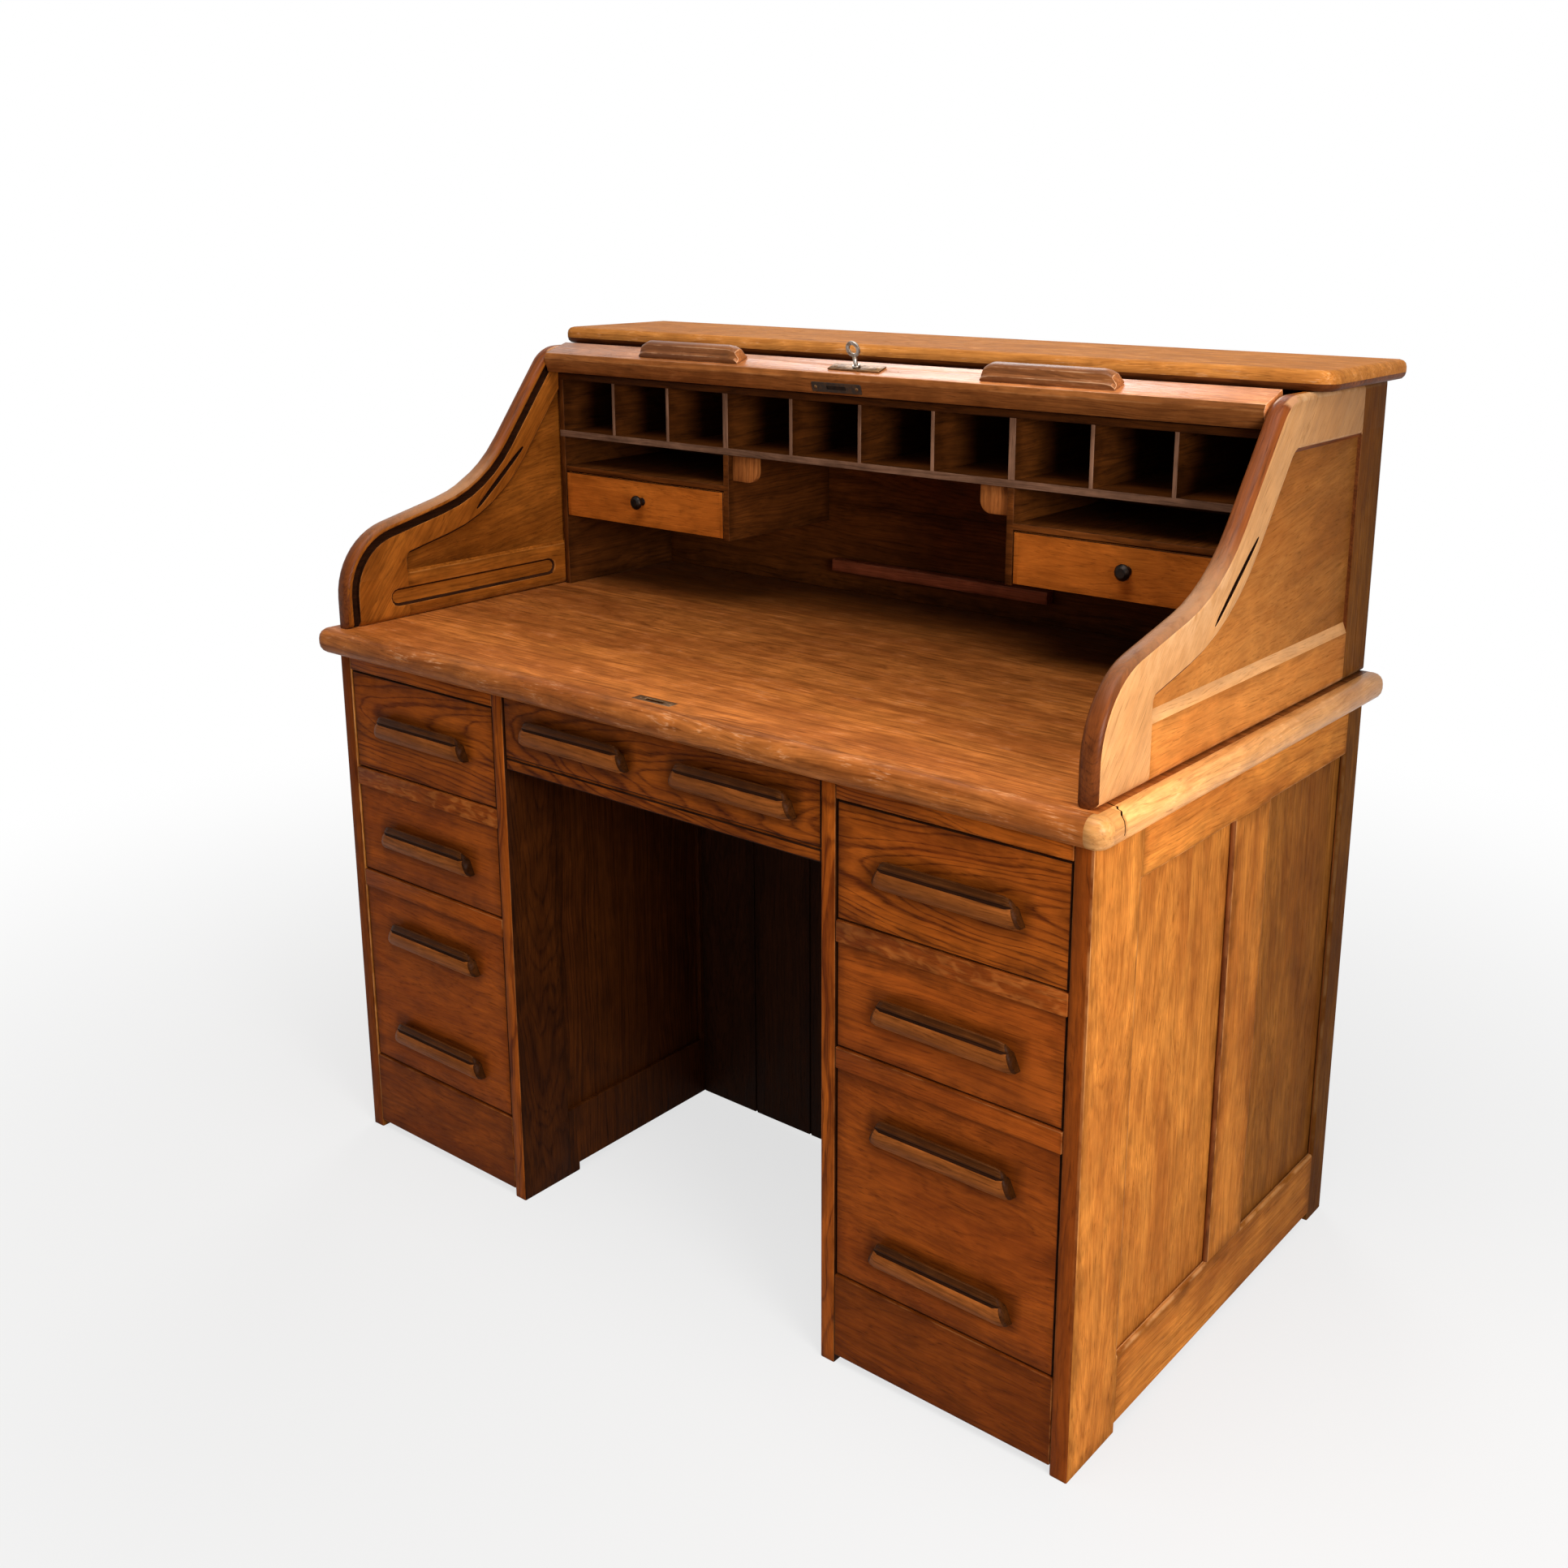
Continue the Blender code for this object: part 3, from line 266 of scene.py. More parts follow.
        # Rays on the quarter, 10 mm by 20 mm patches that stand in thin radial walls
        if self.fleck > 0:
            part = add(tree, "ShaderNodeSeparateXYZ", {0: bent})
            turn = add(tree, "ShaderNodeMath", {0: part.outputs[1], 1: part.outputs[2]}, operation="ARCTAN2")
            turn = add(tree, "ShaderNodeMath", {0: turn.outputs[0], 1: 75.0}, operation="MULTIPLY")
            out = add(tree, "ShaderNodeMath", {0: radius, 1: 100.0}, operation="MULTIPLY")
            along = add(tree, "ShaderNodeMath", {0: part.outputs[0], 1: 50.0}, operation="MULTIPLY")
            place = add(tree, "ShaderNodeCombineXYZ", {0: along.outputs[0], 1: out.outputs[0],
                                                       2: turn.outputs[0]})
            ray = add(tree, "ShaderNodeTexNoise", {"Vector": place.outputs[0], "Scale": 1.0, "Detail": 1.0,
                                                   "Distortion": 0.6})
            ray = add(tree, "ShaderNodeMapRange", {0: ray.outputs["Fac"], 1: 0.42, 2: 0.72, 4: self.fleck},
                      interpolation_type="SMOOTHSTEP")
            colour = add(tree, "ShaderNodeMix", {0: ray.outputs[0], 6: colour, 7: linear(self.worn)},
                         data_type="RGBA").outputs[2]

        # Scuffs: rubbed dashes, 2 mm by 16 mm, gathered where sleeves pass
        smudge = add(tree, "ShaderNodeVectorMath", {0: bent, 1: (24.0, 45.0, 45.0)}, operation="MULTIPLY")
        smudge = add(tree, "ShaderNodeTexNoise", {"Vector": smudge.outputs[0], "Scale": 1.0, "Detail": 3.0,
                                                  "Roughness": 0.6}).outputs["Fac"]
        if self.scuff > 0:
            dash = add(tree, "ShaderNodeVectorMath", {0: bent, 1: (60.0, 480.0, 480.0)}, operation="MULTIPLY")
            dash = add(tree, "ShaderNodeTexNoise", {"Vector": dash.outputs[0], "Scale": 1.0, "Detail": 2.0,
                                                    "Roughness": 0.65}).outputs["Fac"]
            dash = add(tree, "ShaderNodeMath", {0: smudge, 1: 0.9, 2: dash}, operation="MULTIPLY_ADD")
            dash = add(tree, "ShaderNodeMapRange", {0: dash.outputs[0], 1: 1.04, 2: 1.26, 4: self.scuff},
                       interpolation_type="SMOOTHSTEP")
            colour = add(tree, "ShaderNodeMix", {0: dash.outputs[0], 6: colour, 7: linear(self.worn)},
                         data_type="RGBA").outputs[2]

        # Boards of one piece differ in tone, with painted light and shade in it, and each is mottled in clouds of 40 by
        # 20 mm
        size = add(tree, "ShaderNodeSeparateXYZ", {0: board})
        value = add(tree, "ShaderNodeMath", {0: smudge, 1: 2.0 * self.mottle, 2: 1.0 - self.mottle},
                    operation="MULTIPLY_ADD")
        tone = add(tree, "ShaderNodeMath", {0: size.outputs[2], 1: 1.0}, operation="ADD")
        value = add(tree, "ShaderNodeMath", {0: value.outputs[0], 1: tone.outputs[0]}, operation="MULTIPLY")
        colour = add(tree, "ShaderNodeHueSaturation", {"Value": value.outputs[0], "Color": colour}).outputs[0]

        # Dirt and painted shade darken within 25 mm of the board's edges, and the joint itself is a dark line
        inset = add(tree, "ShaderNodeVectorMath", {0: rim}, operation="ABSOLUTE")
        inset = add(tree, "ShaderNodeVectorMath", {0: (1.0, 1.0, 1.0), 1: inset.outputs[0]},
                    operation="SUBTRACT")
        inset = add(tree, "ShaderNodeVectorMath", {0: inset.outputs[0], 1: board}, operation="MULTIPLY")
        inset = add(tree, "ShaderNodeSeparateXYZ", {0: inset.outputs[0]})
        reach = add(tree, "ShaderNodeMath", {0: inset.outputs[0], 1: inset.outputs[1]}, operation="MINIMUM")
        edge = add(tree, "ShaderNodeMath", {0: smudge, 1: 0.034, 2: reach.outputs[0]}, operation="MULTIPLY_ADD")
        dirt = add(tree, "ShaderNodeMapRange", {0: edge.outputs[0], 1: 0.012, 2: 0.042, 3: self.grime, 4: 0.0},
                   interpolation_type="SMOOTHSTEP")
        joint = add(tree, "ShaderNodeMapRange", {0: reach.outputs[0], 1: 0.0002, 2: 0.0011, 3: self.joint, 4: 0.0})
        dirt = add(tree, "ShaderNodeMath", {0: dirt.outputs[0], 1: joint.outputs[0]}, operation="MAXIMUM")
        black = tuple(0.3 * c for c in linear(self.deep)[:3]) + (1.0,)
        colour = add(tree, "ShaderNodeMix", {0: dirt.outputs[0], 6: colour, 7: black},
                     data_type="RGBA").outputs[2]

        # Corners rubbed through to paler wood, here and there, and painted highlights where wear is set by place
        corner = add(tree, "ShaderNodeSeparateXYZ", {0: rim})
        rub = add(tree, "ShaderNodeMapRange", {0: smudge, 1: 0.38 - 0.4 * self.even, 2: 0.6 - 0.1 * self.even,
                                               4: self.wear}, interpolation_type="SMOOTHSTEP")
        rub = add(tree, "ShaderNodeMath", {0: rub.outputs[0], 1: corner.outputs[2]}, operation="MULTIPLY")
        worn = add(tree, "ShaderNodeHueSaturation", {"Value": tone.outputs[0], "Color": linear(self.worn)})
        colour = add(tree, "ShaderNodeMix", {0: rub.outputs[0], 6: colour, 7: worn.outputs[0]},
                     data_type="RGBA").outputs[2]
        tree.links.new(colour, shader.inputs["Base Color"])

        rough = add(tree, "ShaderNodeMath", {0: pore, 1: 0.16, 2: self.rough}, operation="MULTIPLY_ADD")
        rough = add(tree, "ShaderNodeMath", {0: smudge, 1: 0.16, 2: rough.outputs[0]}, operation="MULTIPLY_ADD")
        rough = add(tree, "ShaderNodeMath", {0: rough.outputs[0], 1: 0.08}, operation="SUBTRACT")
        tree.links.new(rough.outputs[0], shader.inputs["Roughness"])
        height = add(tree, "ShaderNodeMath", {0: pore, 1: -0.75, 2: fibre}, operation="MULTIPLY_ADD")
        height = add(tree, "ShaderNodeMath", {0: spring, 1: -0.3, 2: height.outputs[0]},
                     operation="MULTIPLY_ADD")
        bump = add(tree, "ShaderNodeBump", {"Height": height.outputs[0], "Distance": 0.00022, "Strength": 0.7})
        tree.links.new(bump.outputs[0], shader.inputs["Normal"])
        shader.inputs["Specular IOR Level"].default_value = self.gloss
        return material


@dataclass(frozen=True)
class MetalFinish:
    """Iron or steel fittings of an old lock.

    To the eye: dark patina with brown bloom in patches, brighter where hands and keys rub the corners.
    """

    name: str
    base: str
    bloom: str
    bright: str
    slot: str
    rough: float = 0.42

    def material(self) -> bpy.types.Material:
        """Builds the node tree.

        Returns:
            The material.
        """
        material, tree, shader = shader_of(self.name)
        place = add(tree, "ShaderNodeTexCoord").outputs["Object"]
        # Bloom in patches of about 6 mm, pitting of 0.8 mm
        spots = add(tree, "ShaderNodeTexNoise", {"Vector": place, "Scale": 160.0, "Detail": 4.0,
                                                 "Roughness": 0.65}).outputs["Fac"]
        pits = add(tree, "ShaderNodeTexNoise", {"Vector": place, "Scale": 1200.0, "Detail": 2.0}).outputs["Fac"]
        bloom = add(tree, "ShaderNodeMapRange", {0: spots, 1: 0.42, 2: 0.62},
                    interpolation_type="SMOOTHSTEP")
        colour = add(tree, "ShaderNodeMix", {0: bloom.outputs[0], 6: linear(self.base), 7: linear(self.bloom)},
                     data_type="RGBA").outputs[2]
        rim = add(tree, "ShaderNodeAttribute", attribute_name="rim").outputs["Vector"]
        corner = add(tree, "ShaderNodeSeparateXYZ", {0: rim})
        rub = add(tree, "ShaderNodeMapRange", {0: spots, 1: 0.35, 2: 0.55, 4: 0.8},
                  interpolation_type="SMOOTHSTEP")
        rub = add(tree, "ShaderNodeMath", {0: rub.outputs[0], 1: corner.outputs[2]}, operation="MULTIPLY")
        colour = add(tree, "ShaderNodeMix", {0: rub.outputs[0], 6: colour, 7: linear(self.bright)},
                     data_type="RGBA").outputs[2]
        tree.links.new(colour, shader.inputs["Base Color"])
        rough = add(tree, "ShaderNodeMath", {0: spots, 1: 0.35, 2: self.rough - 0.17},
                    operation="MULTIPLY_ADD")
        tree.links.new(rough.outputs[0], shader.inputs["Roughness"])
        bump = add(tree, "ShaderNodeBump", {"Height": pits, "Distance": 0.00015, "Strength": 0.6})
        tree.links.new(bump.outputs[0], shader.inputs["Normal"])
        shader.inputs["Metallic"].default_value = 0.9
        return material


@dataclass(frozen=True)
class CanvasFinish:
    """Glue-sized canvas that holds the curtain's slats.

    To the eye: brown plain-weave cloth, flat and matt, with darker glue stains.
    """

    name: str = "glued canvas"
    thread: str = "6E5536"
    gap: str = "3A2916"
    slot: str = "inner_oak"

    def material(self) -> bpy.types.Material:
        """Builds the node tree.

        Returns:
            The material.
        """
        material, tree, shader = shader_of(self.name)
        place = add(tree, "ShaderNodeTexCoord").outputs["Object"]
        # Threads 0.8 mm apart, drawn 1.6 mm apart so that they show
        weave = add(tree, "ShaderNodeTexChecker", {"Vector": place, "Scale": 1250.0,
                                                   "Color1": linear(self.thread), "Color2": linear(self.gap)})
        stain = add(tree, "ShaderNodeTexNoise", {"Vector": place, "Scale": 25.0, "Detail": 4.0})
        colour = add(tree, "ShaderNodeMix", {0: stain.outputs["Fac"], 6: weave.outputs["Color"],
                                             7: linear(self.gap)}, data_type="RGBA").outputs[2]
        tree.links.new(colour, shader.inputs["Base Color"])
        rough = add(tree, "ShaderNodeMath", {0: stain.outputs["Fac"], 1: 0.2, 2: 0.7}, operation="MULTIPLY_ADD")
        tree.links.new(rough.outputs[0], shader.inputs["Roughness"])
        bump = add(tree, "ShaderNodeBump", {"Height": weave.outputs["Fac"], "Distance": 0.0003})
        tree.links.new(bump.outputs[0], shader.inputs["Normal"])
        return material


Finish = Union[OakFinish, MetalFinish, CanvasFinish]

SIDE_OAK = OakFinish("honey oak, shellacked", "DA8A3C", "9E581E", "96501E", "E6AE74", "oak_side", figure=0.25,
                     streak=0.45, patches=0.7, mottle=0.45, wear=0.4, gloss=0.006)
# Paler honey oak of the right S end's frame and ledge and of the side frames' sills: partly the wood's colour, partly
# painted light
PAINTED_LIGHT_HONEY_OAK = OakFinish("honey oak of the S ends", "D89E66", "BA7C42", "C4864E", "F4CCA0", "oak_side", figure=0.1,
                    streak=0.3, patches=0.6, mottle=0.3, joint=0.3, grime=0.25, gloss=0.04)
PANEL_OAK = OakFinish("orange oak of the S panels", "DA8C44", "A65E24", "AE642A", "F0C090", "oak_side", figure=0.12,
                      streak=0.35, patches=0.7, mottle=0.36, joint=0.3, grime=0.3, gloss=0.006)
# Golden lippings on the right, paler than the top, partly rubbed and partly painted light
NOSE_OAK = OakFinish("rubbed golden lippings", "E6A662", "B8763A", "C8823E", "FFE4C0", "oak_top", figure=0.1,
                     streak=0.5, patches=0.6, scuff=0.12, grime=0.15, joint=0.25, rough=0.34, gloss=0.16)
INSIDE_OAK = OakFinish("brown oak inside the S ends", "A05A1C", "5E300C", "70380C", "B97F44", "oak_side",
                       patches=0.7, grime=0.4, figure=0.2, joint=0.4, gloss=0.03)
# Brown for reveal walls, outer recess walls and the cap's underside: painted shade
SHADED_EDGE_OAK = OakFinish("brown edges in shade", "8E4C22", "44200C", "5E2E12", "A86E40", "oak_side", wear=0.2,
                     patches=0.8, grime=0.3, gloss=0.04)
# Front edges of the S ends: a painted highlight in the hollow, in the worn colour, and darker towards the foot
HAND_WORN_HIGHLIT_OAK = OakFinish("edges worn by hands", "964E20", "4C220A", "683010", "E0A878", "oak_side", wear=0.54, even=1.0,
                     patches=0.6, grime=0.0, joint=0.0, mottle=0.35, rough=0.32, gloss=0.08)
TOP_OAK = OakFinish("orange oak of the tops", "D07A36", "783C14", "985020", "E0A878", "oak_top", figure=0.25,
                    streak=0.6, patches=0.75, grime=0.2, joint=0.12, scuff=0.15, mottle=0.55, rough=0.4, gloss=0.05)
CAP_OAK = OakFinish("golden oak of the cap", "C8823E", "8C5020", "A86428", "FFDCB0", "oak_top", figure=0.15,
                    streak=0.5, patches=0.5, grime=0.1, joint=0.08, scuff=0.12, wear=0.8, mottle=0.4, rough=0.48,
                    gloss=0.008)
RUBBED_OAK = OakFinish("front lipping, rubbed", "BE7034", "70380F", "8E4A1C", "E8B88A", "oak_top", figure=0.2,
                       streak=0.6, patches=0.75, grime=0.2, joint=0.1, scuff=0.26, mottle=0.6, rough=0.4, gloss=0.06)
# Pale oak of the lead rail's top, its paleness partly a painted sheen
SHEEN_OAK = OakFinish("polished lead rail", "C67C46", "8E5026", "AA6434", "F2CCAC", "oak_top", figure=0.15,
                      streak=0.5, patches=0.6, grime=0.2, scuff=0.12, rough=0.3, gloss=0.27)
FACE_OAK = OakFinish("rail edge, handled", "A0602E", "5C3014", "7C441E", "B88250", "oak_top", figure=0.15,
                     streak=0.5, patches=0.6, grime=0.2, scuff=0.1, mottle=0.5, gloss=0.02)
FRONT_OAK = OakFinish("brown oak of the fronts", "BC5F1A", "4A1C07", "863C0E", "C88C50", "oak_front",
                      figure=0.85, streak=0.35, patches=0.6, grime=0.4, mottle=0.48, gloss=0.03, ring=5.6)
PLAIN_OAK = OakFinish("brown oak with a quiet figure", "AE5518", "60290B", "82380E", "C0844C", "oak_front",
                      figure=0.22, streak=0.4, patches=0.65, grime=0.4, mottle=0.45, wear=0.5, gloss=0.03, ring=5.0)
RAIL_OAK = OakFinish("quartered brown oak", "9A4A16", "4A1E09", "6C2F0C", "B0662C", "oak_front",
                     figure=0.2, fleck=0.5, patches=0.7, grime=0.2, joint=0.4, mottle=0.6, gloss=0.03)
PULL_OAK = OakFinish("handled oak of the pulls", "985422", "522808", "723A12", "B07440", "pull_oak",
                     figure=0.25, grime=0.75, joint=0.0, wear=0.3, scuff=0.12, rough=0.4, gloss=0.04)
# Lifts: pale edges partly wear, partly painted highlights
LIFT_OAK = OakFinish("worn lifts", "945A2E", "582E12", "723E1C", "DCB088", "pull_oak", figure=0.2,
                     grime=0.2, joint=0.2, wear=0.55, scuff=0.1, rough=0.34, gloss=0.14)
# Near black for grooves, gaps, the crack, the open joint and recess walls: painted shade with old dirt
SHADE_OAK = OakFinish("old dirt in the grooves", "2C1508", "140803", "200E05", "4A2C18", "dark_boards",
                      wear=0.2, rough=0.6, gloss=0.03)
INNER_OAK = OakFinish("dark oak inside the case", "663612", "2E1506", "452109", "7A4C2C", "inner_oak",
                      mottle=0.6, rough=0.5, gloss=0.03)
LIP_OAK = OakFinish("greyed front edges", "8C664E", "54392A", "6C4C3A", "A88C76", "inner_oak", rough=0.55,
                    gloss=0.04, grime=0.2, mottle=0.7)
# Dark oak of the kneehole's sides, its darkness partly painted shade
KNEE_OAK = OakFinish("dark oak of the kneehole", "5A2C0C", "281004", "3A1806", "6E4222", "inner_oak", figure=0.5,
                     mottle=0.5, rough=0.55, gloss=0.03)
SMALL_OAK = OakFinish("bright oak of the small drawers", "CC7026", "924A14", "A45418", "D89850",
                      "small_drawer_oak", figure=0.12, streak=0.4, patches=0.6, grime=0.3, mottle=0.36, gloss=0.03)
# Near-black back of the kneehole: painted shade
SHADED_DARK_BOARDS = OakFinish("smoked back boards", "3C1E0D", "1B0C04", "2A1408", "5C3A22", "dark_boards",
                        rough=0.6, gloss=0.04)
BACK_BOARDS = OakFinish("stained back boards", "7C4C28", "40220F", "5A341A", "8E6640", "dark_boards", figure=0.4,
                        rough=0.6, gloss=0.02)
RAW_OAK = OakFinish("bare drawer oak", "CC9F68", "996A3A", "B07F48", "DCB888", "inner_oak", rough=0.62,
                    mottle=0.3)
LEDGE_OAK = OakFinish("rubbed red oak", "A85A3A", "5C2A16", "7C3E24", "B88468", "inner_oak", grime=0.3)
IRON = MetalFinish("dark iron", "3A322C", "4E3A2A", "8A7C6C", "dark_iron", rough=0.45)
BRASS = MetalFinish("browned brass", "7C5A38", "5A3E26", "B89468", "dark_iron", rough=0.42)
BLACK_IRON = MetalFinish("blackened iron", "1C1714", "2A1E16", "5A4C40", "dark_iron", rough=0.4)
STEEL = MetalFinish("key steel", "A8A29A", "7C6A58", "D8D4CC", "key_steel", rough=0.34)
CANVAS = CanvasFinish()

_materials: dict[str, bpy.types.Material] = {}


def material_of(finish: Finish) -> bpy.types.Material:
    """Builds a finish's material once.

    Args:
        finish: The finish.

    Returns:
        Its material.
    """
    if finish.name not in _materials:
        _materials[finish.name] = finish.material()
    return _materials[finish.name]


@dataclass
class Board:
    """One board of a glued-up piece: its box, its grain, where its log's heart lay and its tone, with gradients that
    paint light and shade.
    """

    name: str
    finish: Finish
    low: Vector
    high: Vector
    grain: Vector
    face: Vector
    cut: Cut = Cut.PLAIN
    tone: float = 0.0
    where: Optional[Where] = None
    # Change of the tone per metre along each axis: painted light and shade
    fade: Sequence[float] = (0.0, 0.0, 0.0)

    def __post_init__(self) -> None:
        """Draws the heart's place and the board's tone from the board's name."""
        draw = random.Random(zlib.crc32(self.name.encode()))
        self.side = self.grain.cross(self.face).normalized()
        self.centre = (self.low + self.high) / 2
        wide = abs(self.side.dot(self.high - self.low)) or 0.1
        sign = draw.choice((-1.0, 1.0))
        if self.cut is Cut.PLAIN:
            self.heart = (draw.uniform(-0.2, 0.2) * wide, draw.uniform(0.03, 0.06))
            self.tilt = sign * draw.uniform(0.05, 0.11)
        elif self.cut is Cut.RIFT:
            self.heart = (sign * draw.uniform(0.09, 0.15), draw.uniform(0.06, 0.11))
            self.tilt = sign * draw.uniform(0.0, 0.04)
        else:
            self.heart = (sign * draw.uniform(0.12, 0.2), draw.uniform(-0.01, 0.02))
            self.tilt = draw.uniform(-0.02, 0.02)
        self.start = draw.uniform(0.0, 40.0)
        self.tone += draw.uniform(-0.07, 0.07)

    def marks(self, points: np.ndarray, axis: int) -> tuple[np.ndarray, np.ndarray, np.ndarray]:
        """Works out what the oak materials read at points on one of the board's faces.

        Args:
            points: Places, one row each.
            axis: The axis that the face looks along.

        Returns:
            Grain coordinates, the place within the board's rim, and the rim's half sizes with the tone.
        """
        rel = points - np.array(self.centre)
        u = rel @ np.array(self.grain)
        v = rel @ np.array(self.side) - self.heart[0]
        w = rel @ np.array(self.face) + self.heart[1] + self.tilt * u
        grain = np.stack([u + self.start, v, w], 1)
        half = np.maximum((np.array(self.high) - np.array(self.low)) / 2, 1e-4)
        flat = [i for i in range(3) if i != axis]
        rim = np.zeros_like(grain)
        rim[:, 0] = rel[:, flat[0]] / half[flat[0]]
        rim[:, 1] = rel[:, flat[1]] / half[flat[1]]
        size = half[flat]
        size = size * max(1.0, 0.055 / size.min())
        board = np.tile([size[0], size[1], self.tone], (len(points), 1))
        board[:, 2] = np.maximum(board[:, 2] + rel @ np.array(self.fade), -0.93)
        return grain, np.clip(rim, -1.0, 1.0), board


def mark(mesh: bpy.types.Mesh, boards: Sequence[Board], of_face: Sequence[int]) -> None:
    """Writes the attributes that the materials read.

    Args:
        mesh: Mesh of triangles, with optional vertex attributes called wear and dirt; wear also carries painted
            highlights, dirt also painted shade.
        boards: Its boards.
        of_face: Number of the board of each face.
    """
    count = len(mesh.loops)
    places = np.zeros(len(mesh.vertices) * 3)
    mesh.vertices.foreach_get("co", places)
    places = places.reshape(-1, 3)
    corner = np.zeros(count, np.int64)
    mesh.loops.foreach_get("vertex_index", corner)
    wear, dirt = np.zeros((2, len(mesh.vertices)))
    for name, values in (("wear", wear), ("dirt", dirt)):
        if name in mesh.attributes:
            mesh.attributes[name].data.foreach_get("value", values)
    layers = {name: np.zeros((count, 3)) for name in ("grain", "rim", "board")}
    for face in mesh.polygons:
        loops = list(face.loop_indices)
        axis = max(range(3), key=lambda i: abs(face.normal[i]))
        grain, rim, size = boards[of_face[face.index]].marks(places[corner[loops]], axis)
        rim[:, 2] = wear[corner[loops]]
        size[:, 2] -= dirt[corner[loops]]
        layers["grain"][loops], layers["rim"][loops], layers["board"][loops] = grain, rim, size
    for name, rows in layers.items():
        layer = mesh.attributes.new(name, "FLOAT_VECTOR", "CORNER")
        layer.data.foreach_set("vector", rows.astype(np.float32).ravel())


class Workpiece:
    """A copy of one solid on the bench: eased, sawn into boards, finished and put back in its place."""

    def __init__(self, node: str, cuts: Sequence[bmesh.types.BMesh] = (),
                 shape: Optional[bmesh.types.BMesh] = None) -> None:
        """Copies the solid, joins its loose triangles and cuts open joints and cracks into it.

        Args:
            node: Name of the solid.
            cuts: Solids to cut away.
            shape: A fuller form of the solid, in its place.
        """
        self.node = node
        self.low, self.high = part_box(node)
        self.boards: list[Board] = []
        self.bm = shape or bmesh.new()
        if shape is None:
            self.bm.from_mesh(frame["nodes"][node].data)
        bmesh.ops.remove_doubles(self.bm, verts=self.bm.verts, dist=2e-6)
        for tool in cuts:
            self._cut(tool)
        bmesh.ops.dissolve_limit(self.bm, angle_limit=math.radians(0.4), verts=self.bm.verts,
                                 edges=self.bm.edges)
        self.soft = self.bm.faces.layers.int.new("soft")
        # The wear layer also carries painted highlights, the dirt layer also painted shade
        self.wear = self.bm.verts.layers.float.new("wear")
        self.dirt = self.bm.verts.layers.float.new("dirt")

    def _cut(self, tool: bmesh.types.BMesh) -> None:
        """Cuts a solid away."""
        parts = []
        for bm in (self.bm, tool):
            mesh = bpy.data.meshes.new("bench")
            bm.to_mesh(mesh)
            bm.free()
            parts.append(bpy.data.objects.new("bench", mesh))
            bpy.context.scene.collection.objects.link(parts[-1])
        modifier = parts[0].modifiers.new("cut", "BOOLEAN")
        modifier.operation, modifier.object = "DIFFERENCE", parts[1]
        graph = bpy.context.evaluated_depsgraph_get()
        mesh = bpy.data.meshes.new_from_object(parts[0].evaluated_get(graph))
        self.bm = bmesh.new()
        self.bm.from_mesh(mesh)
        for part in parts:
            bpy.data.objects.remove(part)

    def ease(self, width: float, segments: int = 2, where: Optional[Where] = None) -> "Workpiece":
        """Rounds the outer corners.

        Args:
            width: Width taken off each face.
            segments: Steps of the rounding.
            where: Test of an edge's middle and direction, for some of the corners only.

        Returns:
            The workpiece.
        """
        edges = []
        for edge in self.bm.edges:
            if not edge.is_manifold or not edge.is_convex or edge.calc_face_angle() < math.radians(35):
                continue
            if any(face[self.soft] for face in edge.link_faces):
                continue
            a, b = (v.co for v in edge.verts)
            if where is None or where((a + b) / 2, (b - a).normalized()):
                edges.append(edge)
        if not edges:
            return self
        made = bmesh.ops.bevel(self.bm, geom=edges, offset=width, offset_type="OFFSET", segments=segments,
                               profile=0.5, affect="EDGES", clamp_overlap=False, loop_slide=True)
        for face in made["faces"]:
            face[self.soft] = 1
        for vert in made["verts"]:
            if all(face[self.soft] for face in vert.link_faces):
                vert[self.wear] = 1.0
        folds = set()
        for face in self.bm.faces:
            runs = [loop.link_loop_next.vert.co - loop.vert.co for loop in face.loops]
            if len(runs) > 6:
                folds.update(loop.edge for i, loop in enumerate(face.loops) if runs[i].length < 0.7 * width
                             and max(runs[i].dot(runs[i - 1]), runs[i].dot(runs[(i + 1) % len(runs)])) < 0)
        bmesh.ops.collapse(self.bm, edges=list(folds))
        return self

    def saw(self, point: Sequence[float], normal: Vector) -> "Workpiece":
        """Cuts all faces along a plane, where two boards meet."""
        bm = self.bm
        bmesh.ops.bisect_plane(bm, geom=bm.verts[:] + bm.edges[:] + bm.faces[:], dist=1e-6,
                               plane_co=Vector(point), plane_no=normal)
        return self

    def board(self, name: str, finish: Finish, grain: Vector, face: Vector, cut: Cut = Cut.PLAIN,
              where: Optional[Where] = None, tone: float = 0.0, low: Optional[Sequence[float]] = None,
              high: Optional[Sequence[float]] = None, fade: Sequence[float] = (0.0, 0.0, 0.0)) -> "Workpiece":
        """Adds a board.

        Args:
            name: Name of the board within the piece.
            finish: Its finish.
            grain: Direction of its grain.
            face: Direction that its main face looks along.
            cut: How it was sawn.
            where: Test of a face's middle and normal; without one the board takes all that is left.
            tone: Lighter or darker than its neighbours.
            low: Lowest corner, where it isn't the whole piece's.
            high: Highest corner, likewise.
            fade: Change of the tone per metre along each axis, which paints light and shade.

        Returns:
            The workpiece.
        """
        self.boards.append(Board(self.node + name, finish, Vector(low or self.low), Vector(high or self.high),
                                 grain.normalized(), face.normalized(), cut, tone, where, fade))
        return self

    def _soften(self) -> None:
        """Shades curved stretches smooth and leaves flat faces flat."""
        for edge in self.bm.edges:
            if len(edge.link_faces) != 2:
                continue
            angle = edge.calc_face_angle(0.0)
            edge.smooth = angle < math.radians(50)
            if math.radians(1) < angle < math.radians(32):
                for face in edge.link_faces:
                    if face.calc_area() / max(e.calc_length() for e in face.edges) < 0.034:
                        face[self.soft] = 1
        for face in self.bm.faces:
            face.smooth = bool(face[self.soft])

